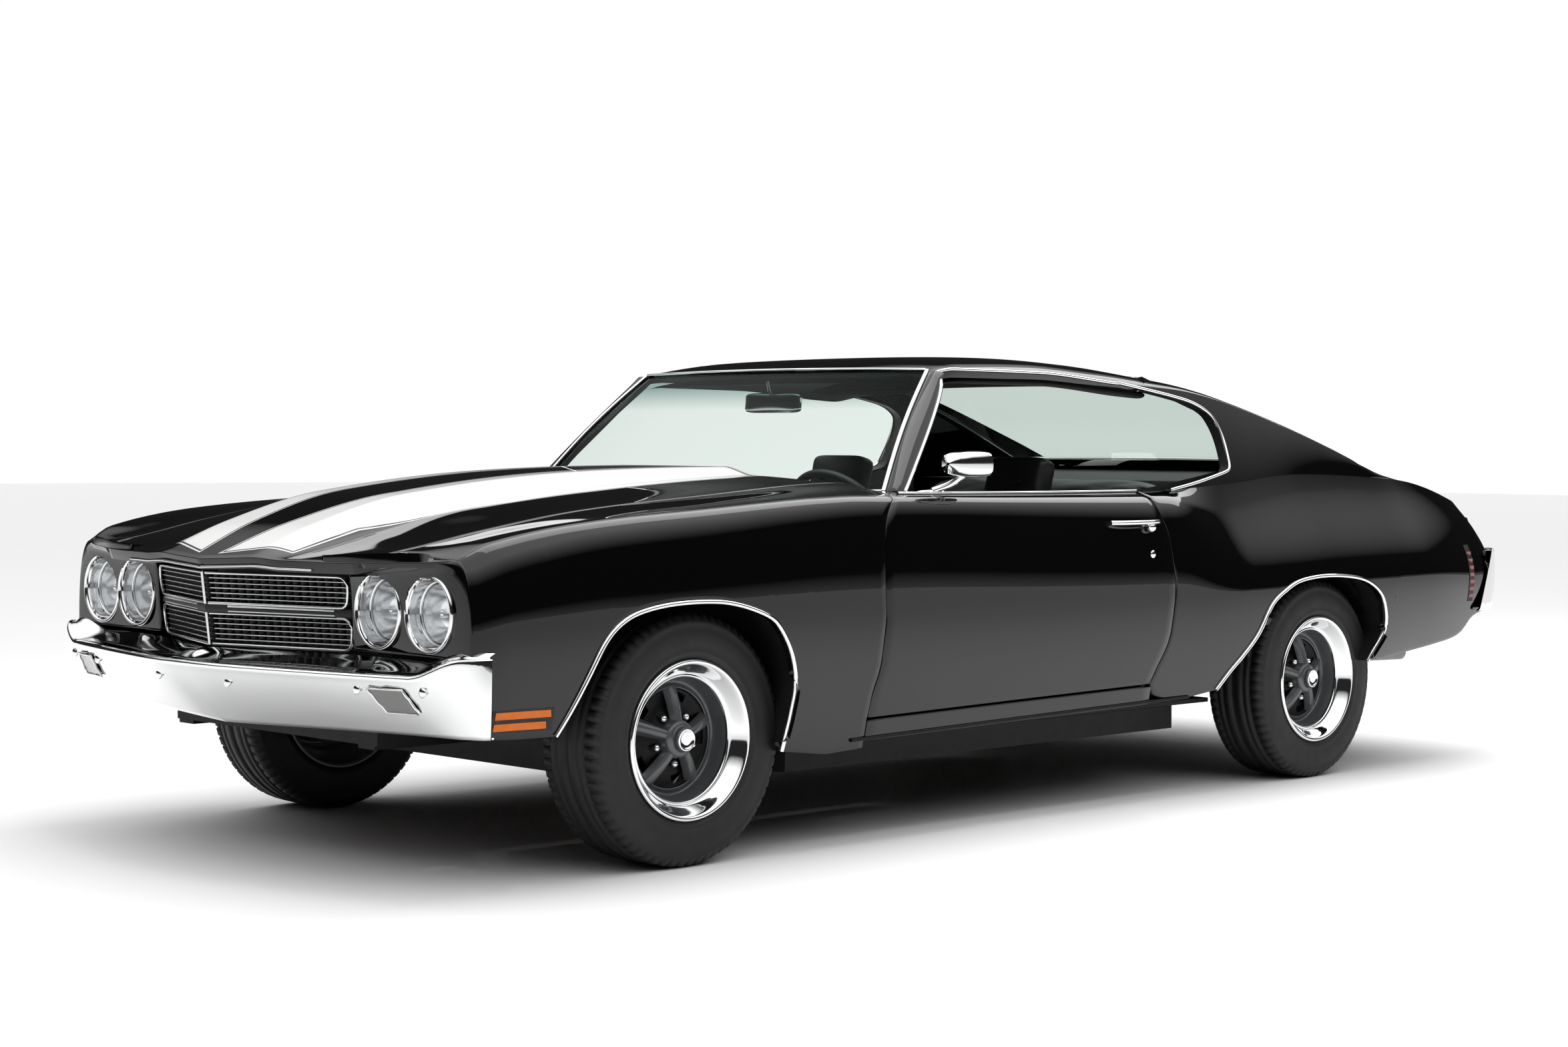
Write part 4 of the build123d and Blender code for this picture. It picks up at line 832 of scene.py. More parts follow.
BACK_TOP_X = rx(612)
back_corner = Vector((BACK_TOP_X, find(BACK_TOP_X, NOTCH_Y(BACK_TOP_X), 1, 0, 1), 0))
rail_flat = spread([(fx(-1175), 1, 0), (rx(829), 1, 0)], 40, False)
shoulder = spread([rail_flat[-1], (rx(705), 0.97, 0), back_corner], 14)
edge_left = [top(p.x, p.y) for p in join(rail_flat, shoulder)]
edge_left[0] = shield(1, 1) + Vector((-4, 3, 1))
edge_right = flipped(edge_left)
roof_front = [shield(1 - k / 20, 1) + Vector((-4, 3 * (1 - k / 20), 1 + 4 * (1 - (1 - k / 20) ** 2)))
              for k in range(41)]
roof_back = [top(BACK_TOP_X - 10 * (1 - (1 - k / 20) ** 2), back_corner.y * abs(1 - k / 20))
             for k in range(41)]
roof_back = [Vector((p.x, p.y if k <= 20 else -p.y, p.z)) for k, p in enumerate(roof_back)]
flat_grid = patch(edge_left, edge_right, roof_front, roof_back)
roof_grid = []
for j, row in enumerate(flat_grid):
    line = []
    for i, p in enumerate(row):
        fade = step(p.x, fx(-1110), fx(-1330)) if p.x < fx(-1110) else 0
        t = find(p.x, abs(p.y), 1, 0, 1)
        on_roof = top(p.x, t)
        z = p.z * (1 - fade) + on_roof.z * fade
        line.append(Vector((p.x, p.y, max(z, p.z if fade < 1 else z))))
    roof_grid.append(line)
bm = bmesh.new()
verts = add_grid(bm, roof_grid)
fold_edges(bm, roof_grid, verts, 26, inward=(0, 0, -1))
finish_piece(bm, "roof_skin", paint, "body")

liner = [[p + Vector((0, 0, -42)) * 1.0 for p in row] for row in roof_grid]
bm = bmesh.new()
add_grid(bm, liner)
finish_piece(bm, "roof_liner", headliner, "body")
print("roof", round(roof_grid[20][20].z), "rail", round(edge_left[20].z))

# %% [markdown]
# The sail panel blends the roof into the quarter. Its front edge runs along the quarter window: back along
# the belt to a pointed corner, then up and forward to the drip rail. Its rear edge follows the back glass
# down to the deck. A narrow strip under the window is welded to it.

# %% Sail panels and windshield posts
WINDOW_LOW = ((760, 958), (745, 961), (605, 982), (500, 1001), (430, 1015), (398, 1023), (386, 1033))
WINDOW_REAR = ((386, 1033), (380, 1050), (371, 1098), (369, 1142), (378, 1182), (400, 1211), (469, 1241),
               (566, 1260),
               (700, 1279), (829, 1296))


def window_flat(points, count):
    """Line given by (x behind the axle, z) on the greenhouse side, in its flat drawing."""
    line = spread([(rx(x), z, 0) for x, z in points], count)
    return [Vector((p.x, find(p.x, p.y, 2, 0.9, 2.0), 0)) for p in line]


window_low = window_flat(WINDOW_LOW, 24)
window_low[0] = Vector((rx(760), 2.0, 0))
window_rear = window_flat(WINDOW_REAR, 54)
window_rear[-1] = rail_flat[-1].copy()
under = [[Vector((p.x, 2.0 + (p.y - 2.0) * k / 6, 0)) for p in window_low] for k in range(7)]
sail_start = join([row[-1] for row in under], window_rear)
SAIL_END = rx(-650)
notch = [Vector((rx(x), find(rx(x), NOTCH_Y(rx(x)), 1, 0, 1), 0))
         for x in (-650, -600, -500, -400, -300, -215, -110, 30, 180, 330, 480, 612)]
sail_end = join(spread([(SAIL_END, 2.0, 0), notch[0]], 8, False), spread(notch, len(sail_start) - 9))
sail_low = spread([sail_start[0], (SAIL_END, 2.0, 0)], 50, False)
sail_high = spread(shoulder, 50, False)
sail_end[-1] = sail_high[-1].copy()
sail_grid = lift_top(patch(sail_low, sail_high, sail_start, sail_end))
under_grid = lift_top(under)
edge = [top(p.x, p.y) for p in join(window_low, window_rear)]
reveal = [[p + Vector((0, -36 * k / 3, -1.5 * k)) for p in edge] for k in range(4)]
for hand, flip in (("left", lambda grid: grid), ("right", mirrored)):
    bm = bmesh.new()
    add_grid(bm, flip(sail_grid))
    add_grid(bm, flip(under_grid))
    bmesh.ops.remove_doubles(bm, verts=bm.verts, dist=0.6)
    finish_piece(bm, hand + "_sail_panel", paint, "body")
    bm = bmesh.new()
    add_grid(bm, flip(reveal))
    finish_piece(bm, hand + "_window_reveal", gap_black, "body")

post_inner = [shield(1, v / 20) + Vector((0, 6, 0)) for v in range(21)]
post_outer = spread([(fx(-868), 810, 962), (fx(-905), 798, 1000), (fx(-1060), 735, 1160),
                     (fx(-1150), 690, 1262),
                     (fx(-1185), 672, 1306)], 20)
post = [[a.lerp(b, k / 6) + Vector((9, 9, 4)) * math.sin(math.pi * k / 6)
         for a, b in zip(post_inner, post_outer)] for k in range(7)]
panel(post, "windshield_post", paint, "body", flange=30)

cowl_corner = patch(spread([(fx(-758), 690, 972), (fx(-800), 752, 960)], 8, False),
                    spread([(fx(-746), 862, 956), (fx(-868), 846, 956)], 8, False),
                    spread([(fx(-758), 690, 972), (fx(-754), 780, 970), (fx(-746), 862, 956)], 8),
                    spread([(fx(-800), 752, 960), (fx(-840), 800, 962), (fx(-868), 846, 956)], 8))
panel(cowl_corner, "cowl_corner", paint, "body")

# %% [markdown]
# The glass is laid into those openings: the windshield on its own bent surface, and the back glass in the
# valley between the two sails. The valley has upright walls, which are the inner flanks of the sails, and a
# narrow painted ledge all round the glass.

# %% Glass and the valley between the sails
bm = bmesh.new()
add_grid(bm, [[shield(-1 + i / 20, j / 24) for i in range(41)] for j in range(25)])
finish_piece(bm, "windshield_glass", shield_glass, "body", ("windshield",))

GLASS_TOP, GLASS_LOW = rx(598), rx(-215)


def back_glass(u, v):
    """Point of the back glass: u across, v from the roof down to the deck."""
    x = GLASS_TOP + (GLASS_LOW - GLASS_TOP) * v - 10 * u * u * (1 - v)
    half = 548 + (620 - 548) * v
    return Vector((x, half * u, VALLEY_Z(x) - 9 - 5 * u * u))


bm = bmesh.new()
add_grid(bm, [[back_glass(-1 + i / 20, j / 30) for i in range(41)] for j in range(31)])
finish_piece(bm, "back_glass", window_glass, "body", ("rear_window",))

DECK_MID = smooth_table([
    (rx(-200), 1042), (rx(-285), 1036), (rx(-400), 1030), (rx(-578), 1017), (rx(-800), 984),
    (rx(-950), 950),
    (rx(-1020), 926), (rx(-1050), 905), (rx(-1074), 866), (rx(-1118), 812)])


def deck_height(x, y):
    """Height of the rear deck, crowned a little across the car."""
    edge = EDGE_Z(x)
    return edge + (DECK_MID(x) - edge) * (1 - (y / EDGE_Y(x)) ** 2)


flank = []
for k in range(61):
    x = rx(612) + (SAIL_END - rx(612)) * k / 60
    y = NOTCH_Y(x)
    high = top(x, find(x, y, 1, 0, 1))
    low_z = min(max(VALLEY_Z(x) if x > rx(-262) else 0, deck_height(x, 640)) - 14, high.z - 4)
    flank.append([Vector((x, y + 1.5, high.z - 1)) + Vector((0, -2, low_z - high.z)) * (j / 4)
                  for j in range(5)])
for hand, grid in (("left", flank), ("right", mirrored(flank))):
    bm = bmesh.new()
    add_grid(bm, grid)
    finish_piece(bm, hand + "_sail_flank", paint, "body")

ledge = []
for v in range(31):
    edge = back_glass(1, v / 30)
    ledge.append([edge + Vector((0, -12, 1)), edge + Vector((0, -6, 8)),
                  Vector((edge.x, NOTCH_Y(edge.x) - 1, edge.z + 13))])
low_ledge = [[back_glass(-1 + i / 20, 1) + Vector(step_by) for i in range(41)]
             for step_by in ((12, 0, 3), (4, 0, 8), (-16, 0, 2), (-42, 0, -18))]
head_ledge = [[back_glass(-1 + i / 20, 0) + Vector(step_by) for i in range(41)]
              for step_by in ((-12, 0, -3), (-4, 0, 7), (18, 0, 9))]
bm = bmesh.new()
for grid in (ledge, mirrored(ledge), low_ledge, head_ledge):
    add_grid(bm, grid)
finish_piece(bm, "back_glass_ledge", paint, "body")
print("valley walls", round(flank[30][0].z - flank[30][-1].z), "mm high half way")

# %% [markdown]
# A wheel is turned metal, so most of it is a profile spun round the axle: the chrome trim ring pressed into
# the rim, the grey barrel and the black dish. The five spokes are ridges that run down from the hub to the
# dish, and between them sit the wheel nuts. The profile lists the radius and the distance outwards from the
# middle of the rim.

# %% Spun shapes
WHEEL_SIDES = [("left_front", FRONT_AXLE[0], 1), ("right_front", FRONT_AXLE[0], -1),
               ("left_rear", REAR_AXLE[0], 1), ("right_rear", REAR_AXLE[0], -1)]
TRACK = abs(node_centre("left_front_tyre")[1])


def wheel_point(x, hand, radius, out, angle):
    """Point of a wheel given round its axle."""
    return Vector((x + radius * math.cos(angle), hand * (TRACK + out), AXLE_Z + radius * math.sin(angle)))


def spin(bm, x, hand, profile, turns=96, leave_out=None):
    """Spin a profile of (radius, out) points round the axle; leave_out(ring, turn) skips a face."""
    rings = [[bm.verts.new(wheel_point(x, hand, r, a, 2 * math.pi * k / turns)) for k in range(turns)]
             for r, a in profile]
    for j in range(len(rings) - 1):
        for k in range(turns):
            if leave_out and leave_out(j, k):
                continue
            n = (k + 1) % turns
            bm.faces.new((rings[j][k], rings[j][n], rings[j + 1][n], rings[j + 1][k]))


def turned(points, count):
    """Rounded profile through (radius, out) points."""
    return [(p.x, p.y) for p in spread([(r, a, 0) for r, a in points], count)]


RING = turned([(209, 101), (210, 108), (206, 112.5), (200, 112), (195, 107), (184, 91), (175, 79),
               (170, 75), (166, 77), (162, 74), (161, 68)], 40)
BARREL = turned([(163, 70), (158, 52), (153, 34), (149, 26), (143, 25), (136, 30), (133, 33), (131, 31)],
                26)
DISH = turned([(133, 33), (128, 24), (112, 20), (90, 20), (70, 27), (54, 42), (46, 50)], 24)
INSIDE = [(208, -107), (198, -108), (192, -96), (188, -62), (166, -34), (165, 20), (150, 24)]
HUB = turned([(52, 46), (49, 62), (45, 70), (36, 74), (33, 76), (32, 88), (29, 92)], 20)
CAP = [(29, 92), (25, 93.5), (24, 91), (12, 91.5), (0.01, 91.8)]
SPOKES = 5


def slot_open(j, k):
    """True over the five openings in the dish."""
    radius = DISH[j][0]
    turn = (k + 0.5) / 120 * SPOKES
    return 101 < radius < 124 and abs(turn - math.floor(turn) - 0.5) < 0.15


def add_spoke(bm, x, hand, angle):
    """One ridge from the hub down to the dish."""
    grid = []
    for j in range(15):
        t = j / 14
        radius = 44 + (139 - 44) * t
        crest = 66 - 34 * t + 5 * math.sin(math.pi * t)
        half_top = 8.5 + 3.5 * t * t
        half_low = 17 + 9 * t * t
        floor = 46 - 26 * t
        row = []
        for across, height in ((-half_low, floor), (-half_top - 2.5, crest - 4), (-half_top, crest),
                               (0, crest + 1.2),
                               (half_top, crest), (half_top + 2.5, crest - 4), (half_low, floor)):
            turn = angle + across / radius
            row.append(wheel_point(x, hand, radius, height, turn))
        grid.append(row)
    add_grid(bm, grid)


def add_nut(bm, x, hand, angle, radius=66, size=10.5):
    """Wheel nut: a hexagon with a rounded end."""
    centre = wheel_point(x, hand, radius, 0, angle)
    rings = []
    for out, r in ((22, size), (44, size), (49, size * 0.85), (53, size * 0.5), (54, 0.5)):
        rings.append([centre
                      + Vector((r * math.cos(k * math.pi / 6), hand * out, r * math.sin(k * math.pi / 6)))
                      for k in range(12)])
    add_grid(bm, rings, closed_rows=True)


for corner, x, hand in WHEEL_SIDES:
    body = corner + "_wheel"
    bm = bmesh.new()
    spin(bm, x, hand, RING)
    finish_piece(bm, corner + "_trim_ring", chrome, body)
    bm = bmesh.new()
    spin(bm, x, hand, BARREL)
    spin(bm, x, hand, INSIDE, 64)
    spin(bm, x, hand, HUB, 48)
    for k in range(SPOKES):
        add_spoke(bm, x, hand, math.radians(90 + 72 * k))
    finish_piece(bm, corner + "_spokes", wheel_grey, body, (corner + "_wheel",))
    bm = bmesh.new()
    spin(bm, x, hand, DISH, 120, slot_open)
    finish_piece(bm, corner + "_dish", satin_black, body)
    bm = bmesh.new()
    spin(bm, x, hand, CAP, 48)
    for k in range(SPOKES):
        add_nut(bm, x, hand, math.radians(90 + 36 + 72 * k))
    finish_piece(bm, corner + "_cap_and_nuts", chrome, body)
print("wheels at", [round(x) for _, x, _ in WHEEL_SIDES])

# %% [markdown]
# A tyre is moulded: smooth side walls, and a tread of ribs with grooves between them. Its ribs are cut into
# blocks on the shoulders. The same spun profile makes it, but the radius also changes round the wheel,
# block by block.

# %% Tyres
SIDE_WALL = ((197, 92), (208, 100), (214, 106), (222, 109.5), (226, 111.8), (230, 111), (246, 112.6),
             (264, 113.2), (284, 111.2),
             (300, 107.5), (303, 108.2), (310, 105))
TREAD = ((319, 100, 1), (324, 95, 1), (327.5, 88, 1), (328.5, 68, 1), (322, 66.5, 0), (322, 60.5, 0),
         (329, 59, 0),
         (329.5, 43, 0), (323, 41.5, 0), (323, 37, 0), (329.5, 35.5, 0), (329.8, 9, 0), (323, 7.5, 0),
         (323, 4, 0))
BLOCKS = 68
BLOCK_EDGES = (0.0, 0.06, 0.72, 0.78)


def tyre_rings():
    """Profile of (radius, out, shoulder) from one bead to the other."""
    half = [(r, a, 0) for r, a in SIDE_WALL] + list(TREAD)
    return half + [(r, -a, s) for r, a, s in reversed(half)]


for corner, x, hand in WHEEL_SIDES:
    bm = bmesh.new()
    rows = []
    for radius, out, shoulder in tyre_rings():
        row = []
        for block in range(BLOCKS):
            for part, share in enumerate(BLOCK_EDGES):
                shift = 0.35 * (out > 0) + 0.2 * (abs(out) < 60)
                angle = 2 * math.pi * (block + share + shift) / BLOCKS
                low = shoulder and part in (0, 3)
                row.append(wheel_point(x, hand, radius - (4.5 if low else 0), out, angle))
        rows.append(row)
    add_grid(bm, rows, closed_rows=True)
    finish_piece(bm, corner + "_tyre_tread", rubber, corner + "_wheel", (corner + "_tyre",))

# %% [markdown]
# The nose hides behind a lamp panel on each side of the grille. Its face stands upright over the bumper,
# and its upper edge swells forward into a brow that meets the hood lip. Faces inside the lamp circles are
# left out, so that the chrome bowls can sink into it.

# %% Lamp panel
LAMP_Z = node_centre("headlamps")[2]
LAMP_YS = (556, 750)
LAMP_R = 73
FACE_X = smooth_table([(0, fx(800)), (445, fx(758)), (700, fx(748)), (895, fx(736))])


def side_line(x, low_z, count):
    """Edge of the body side at one x, from a height up to the crown."""
    low = level(x, low_z)
    return [side(x, low + (2.0 - low) * k / count) for k in range(count + 1)]


outer_edge = side_line(FENDER_FRONT + 3, 575, 40)
inner_edge = spread([(fx(752), 447, 575), (fx(757), 447, 660), (fx(764), 447, 742), (fx(776), 447, 768),
                     (fx(812), 447, 784), (fx(846), 447, 788)], 40)
low_edge = spread([inner_edge[0], (fx(750), 560, 575), (fx(746), 750, 575), (fx(742), 850, 575),
                   outer_edge[0]], 70)
brow = spread([inner_edge[-1], (fx(836), 560, 794), (fx(808), 660, 799), (fx(776), 760, 802),
               (fx(750), 815, 805), outer_edge[-1]], 70)
face_grid = patch(low_edge, brow, inner_edge, outer_edge)


def in_lamp(p, margin):
    """True inside one of the lamp circles."""
    return any((p.y - y) ** 2 + (p.z - LAMP_Z) ** 2 < (LAMP_R + margin) ** 2 for y in LAMP_YS)


for hand, grid, replaced in (("left", face_grid, ("header_panel",)), ("right", mirrored(face_grid), ())):
    bm = bmesh.new()
    verts = add_grid(bm, grid)
    fold_edges(bm, grid, verts, 24, inward=(-1, 0, 0))
    holes = [f for f in bm.faces if in_lamp(Vector((0, abs(f.calc_center_median().y),
                                                    f.calc_center_median().z)), 14)]
    bmesh.ops.delete(bm, geom=holes, context="FACES")
    finish_piece(bm, hand + "_lamp_panel", paint, "body", replaced)

crown_front = [side(FENDER_FRONT + 3, 3 - k / 12) for k in range(13)]
nose_top = patch(spread([crown_front[0], (fx(790), 596, 815), (fx(836), 580, 797)], 12),
                 spread([crown_front[-1], outer_edge[-1] + Vector((1, 1, -1))], 12, False),
                 crown_front,
                 spread([(fx(836), 580, 797), (fx(808), 662, 801), (fx(776), 760, 804),
                         outer_edge[-1] + Vector((1, 1, -1))], 12))
panel(nose_top, "lamp_panel_top", paint, "body", flange=14)

# %% [markdown]
# Each lamp is a sealed beam: a fluted glass lens over a silvered bowl. A wide chrome bezel surrounds it
# like a funnel. All of these are spun round the lamp's own axis, which points straight ahead.

# %% Lamps


def spin_ahead(bm, centre, profile, turns=64, tall=1.0):
    """Spin a profile of (radius, ahead) points round an axis that points forward."""
    rings = []
    for r, a in profile:
        rings.append([centre
                      + Vector((a, r * math.cos(2 * math.pi * k / turns),
                                tall * r * math.sin(2 * math.pi * k / turns)))
                      for k in range(turns)])
    add_grid(bm, rings, closed_rows=True)


BEZEL = turned([(90, -8), (94, 0), (94, 7), (90, 11), (86, 9), (83, 2), (80, -12), (77, -22), (75, -27),
                (73.5, -26), (72, -30)], 40)
LENS = turned([(73, -30), (70, -24), (60, -19), (40, -15), (20, -13), (0.1, -12.5)], 20)
BOWL = turned([(71, -32), (62, -52), (48, -70), (30, -82), (12, -88), (0.1, -89)], 20)
flute, tree, shader, coord, (x, y, z) = new_material("fluted_lens")
shader.inputs["Base Color"].default_value = (0.9, 0.92, 0.93, 1)
shader.inputs["Roughness"].default_value = 0.05
shader.inputs["Transmission Weight"].default_value = 0.0
through = tree.nodes.new("ShaderNodeBsdfTransparent")
through.inputs["Color"].default_value = (0.96, 0.97, 0.98, 1)
shader.inputs["Coat Weight"].default_value = 1.0
ribs = (y * 700.0).wave() * 0.5 + (z * 330.0).wave() * 0.5
bump(tree, shader, ribs, 0.5, 0.002)
mix = tree.nodes.new("ShaderNodeMixShader")
facing = tree.nodes.new("ShaderNodeFresnel")
facing.inputs["IOR"].default_value = 1.5
tree.links.new((Sock(tree, facing.outputs[0]) * 0.5 + (ribs * 0.10 + 0.16)).value, mix.inputs[0])
tree.links.new(through.outputs[0], mix.inputs[1])
tree.links.new(shader.outputs[0], mix.inputs[2])
tree.links.new(mix.outputs[0], tree.nodes["Material Output"].inputs["Surface"])

chrome_bm, lens_bm, bowl_bm = bmesh.new(), bmesh.new(), bmesh.new()
for hand in (-1, 1):
    for lamp_y in LAMP_YS:
        centre = Vector((FACE_X(lamp_y) + 1, hand * lamp_y, LAMP_Z))
        spin_ahead(chrome_bm, centre, BEZEL, tall=1.03)
        spin_ahead(lens_bm, centre, LENS)
        spin_ahead(bowl_bm, centre, BOWL)
        spin_ahead(bowl_bm, centre + Vector((-34, 0, 0)), [(11, -20), (11, 0), (9, 4), (0.1, 6)], 24)
finish_piece(chrome_bm, "lamp_bezels", chrome, "body", ("headlamp_bezels",))
finish_piece(lens_bm, "lamp_lenses", flute, "body", ("headlamps",))
finish_piece(bowl_bm, "lamp_bowls", silvered, "body")
print("lamps at", [round(FACE_X(y)) for y in LAMP_YS])

# %% [markdown]
# The grille is die-cast and lies in two openings, one over the other, that meet in an arrow at the middle.
# Bright frames run round them with rounded outer corners. Thin bright bars lie across, over a deep black
# egg-crate. Rods and bars are round sections carried along a line.

# %% Grille


def tube(bm, line, radius, sides=8, flat_to=1.0):
    """Round bar along a line; flat_to squeezes it in height."""
    rings = []
    last = len(line) - 1
    for k, p in enumerate(line):
        ahead = (line[min(k + 1, last)] - line[max(k - 1, 0)]).normalized()
        across = ahead.cross(Vector((0, 0, 1)))
        across = across.normalized() if across.length > 1e-6 else Vector((0, 1, 0))
        rise = across.cross(ahead)
        rings.append([p + across * (radius * math.cos(2 * math.pi * n / sides))
                      + rise * (radius * flat_to * math.sin(2 * math.pi * n / sides))
                      for n in range(sides)])
    add_grid(bm, rings, closed_rows=True)
    for ring in (rings[0], rings[-1]):
        bm.faces.new([bm.verts.new(p) for p in ring])


def grille_point(y, z, back=0):
    """Point of the grille face, an arrow in plan that leans back towards its lower edge."""
    x = fx(903) - (fx(903) - fx(762)) * abs(y) / 442 - 26 * (764 - z) / 200
    return Vector((x - back, y, z))


def frame_line(hand, low, high, end=432, corner=24):
    """Frame of one grille opening, from the middle out and back."""
    pts = [(7, high), (end - corner, high)]
    pts += [(end - corner + corner * math.sin(a), high - corner + corner * math.cos(a))
            for a in (0.4, 0.8, 1.2)]
    pts += [(end, high - corner), (end - 4, low + corner)]
    pts += [(end - 4 - corner + corner * math.cos(a), low + corner - corner * math.sin(a))
            for a in (0.4, 0.8, 1.2)]
    pts += [(end - 4 - corner, low), (7, low)]
    line = []
    for (y0, z0), (y1, z1) in zip(pts[:-1], pts[1:]):
        steps = max(1, round(math.hypot(y1 - y0, z1 - z0) / 20))
        line += [grille_point(hand * (y0 + (y1 - y0) * k / steps), z0 + (z1 - z0) * k / steps)
                 for k in range(steps)]
    return line + [grille_point(hand * 7, low)]


bright_bm, dark_bm = bmesh.new(), bmesh.new()
OPENINGS = ((570, 650), (676, 754))
for hand in (-1, 1):
    for low, high in OPENINGS:
        tube(bright_bm, frame_line(hand, low, high), 4.2)
        for k in range(1, 6):
            z = low + (high - low) * k / 6
            tube(bright_bm,
                 [grille_point(hand * y, z, 5) for y in range(12, 424, 40)]
                 + [grille_point(hand * 424, z, 5)], 1.7, 6)
            crate = [grille_point(hand * y, z, 14) for y in range(8, 431, 30)]
            add_grid(dark_bm,
                     [[p + Vector((0, 0, -1.5)) for p in crate], [p + Vector((0, 0, 1.5)) for p in crate],
                               [p + Vector((-30, 0, 1.5)) for p in crate]])
        for y in range(20, 430, 24):
            a, b = grille_point(hand * y, low, 12), grille_point(hand * y, high, 12)
            add_grid(dark_bm,
                     [[a + Vector((0, -1.5, 0)), b + Vector((0, -1.5, 0))],
                      [a + Vector((0, 1.5, 0)), b + Vector((0, 1.5, 0))],
                               [a + Vector((-32, 1.5, 0)), b + Vector((-32, 1.5, 0))]])
    for z in (657, 669):
        tube(bright_bm, [grille_point(hand * y, z, -4) for y in range(70, 391, 40)], 3.2)
    back = [[grille_point(hand * y, z, 46) for y in range(0, 446, 20)] for z in (560, 660, 772)]
    add_grid(dark_bm, back)
    bar = [grille_point(hand * y, 663, -6 if y < 400 else 0) for y in range(0, 436, 15)]
    add_grid(dark_bm,
             [[p + Vector((-14, 0, -15)) for p in bar], [p + Vector((-2, 0, -11)) for p in bar],
              [p + Vector((0, 0, -5)) for p in bar],
                       [p + Vector((0, 0, 5)) for p in bar], [p + Vector((-2, 0, 11)) for p in bar],
                       [p + Vector((-14, 0, 15)) for p in bar]])
    tray = [[Vector((grille_point(hand * y, 766).x - 46 + 60 * k, hand * y, 766 + 6 * k))
             for y in range(0, 446, 20)] for k in (0, 1)]
    add_grid(dark_bm, tray)
for low, high in OPENINGS:
    tube(bright_bm,
         [grille_point(0, low - 2, -3), grille_point(0, (low + high) / 2, -3),
          grille_point(0, high + 2, -3)], 4.5)
lip = [Vector((HOOD_NOSE(abs(y)) - 3, y, hood_height(HOOD_NOSE(abs(y)), y) - 22))
       for y in range(-420, 421, 20)]
tube(bright_bm, lip, 5, 8, 0.7)
finish_piece(bright_bm, "grille_bars", bright, "body")
finish_piece(dark_bm, "grille_crate", gap_black, "body", ("grille",))
print("grille openings", OPENINGS)

# %% [markdown]
# The bumpers are pressed from thick sheet and chromed. In plan they follow the nose and the tail and wrap
# round the corners, and their section is a tall face with rounded edges and a ledge that runs back to the
# body. So each one is a section carried along a plan line, and its height may change on the way.

# %% Bumpers


def plan_line(half, count, rounded=True):
    """Plan line of a bumper from the right end to the left end, from the points of its left half."""
    left = spread([(x, y, 0) for x, y in half], count, rounded)
    return [Vector((p.x, -p.y, 0)) for p in reversed(left)][:-1] + left


def sweep(bm, line, section, ahead):
    """Carry a section of (out, z) points along a plan line; ahead is 1 if out points forward."""
    rows = []
    last = len(line) - 1
    for k, p in enumerate(line):
        run = (line[min(k + 1, last)] - line[max(k - 1, 0)]).normalized()
        out = Vector((run.y, -run.x, 0)) * ahead
        rows.append([p + out * o + Vector((0, 0, z)) for o, z in section(abs(p.y))])
    add_grid(bm, rows)
    return rows


FRONT_X = cad_box[1][0] / MM
RIDGE = ((FRONT_X - 3, 0), (fx(966), 160), (fx(922), 396), (fx(866), 640), (fx(836), 750), (fx(805), 848),
         (fx(776), 896), (fx(744), 930),
         (fx(712), 944))
LOWER = ((fx(832), 0), (fx(814), 160), (fx(782), 396), (fx(752), 640), (fx(744), 750), (fx(740), 848),
         (fx(730), 895), (fx(720), 920),
         (fx(706), 932))
SHELF = ((fx(920), 0), (fx(868), 160), (fx(798), 396), (fx(768), 640), (fx(762), 750), (fx(756), 848),
         (fx(742), 890), (fx(728), 918),
         (fx(708), 930))


def bumper_rows(count):
    """Rows of the front bumper, from its lower edge over the ridge to the shelf, centre to left end."""
    lines = [spread([(x, y, 0) for x, y in line], count) for line in (LOWER, RIDGE, SHELF)]
    rows = []
    for k, (low, ridge, shelf) in enumerate(zip(*lines)):
        s = k / count
        ear = 46 * step(s, 0.78, 0.93)
        low = low + Vector((0, 0, 366 + 20 * s))
        ridge = ridge + Vector((0, 0, 528 + ear))
        shelf = shelf + Vector((0, 0, 556 + 0.6 * ear))
        out = Vector((1, 0.3 + 1.2 * s, 0)).normalized()
        row = [low + Vector((-22, 0, 10)) * (1 - 0.5 * s), low + Vector((-8, 0, 1)), low]
        row += [low.lerp(ridge, f) + out * (9 * math.sin(math.pi * f))
                for f in (0.06, 0.14, 0.3, 0.5, 0.7, 0.85, 0.93)]
        row += [ridge + Vector((0, 0, -3)), ridge + Vector((-2, 0, 2)),
                ridge.lerp(shelf, 0.1) + Vector((0, 0, 4))]
        row += [ridge.lerp(shelf, f) + Vector((0, 0, -5 * math.sin(math.pi * f))) for f in (0.3, 0.6, 0.9)]
        row += [shelf, shelf + Vector((-16, 0, 8))]
        rows.append(row)
    return rows


left_rows = bumper_rows(60)
rows = list(reversed(mirrored(left_rows)))[:-1] + left_rows
bm = bmesh.new()
add_grid(bm, rows)
finish_piece(bm, "front_bumper_face", chrome, "body", ("front_bumper",))

REAR_X = cad_box[0][0] / MM
rear_plan = plan_line([(REAR_X + 14, 0), (REAR_X + 14, 200), (REAR_X + 20, 500), (rx(-1142), 760),
                       (rx(-1108), 868), (rx(-1060), 908), (rx(-1000), 926), (rx(-932), 934)], 60)


def rear_section(y):
    """Section of the rear bumper."""
    low = 524
    depth = 60 - 40 * step(y, 780, 930)
    return ((-depth, low + 12), (-30, low - 1), (-18, low), (-11, low + 8), (-4, low + 28), (6, low + 62),
            (12, 632), (7, 680),
            (-3, 714), (-10, 730), (-18, 738), (-28, 740), (-depth, 744))


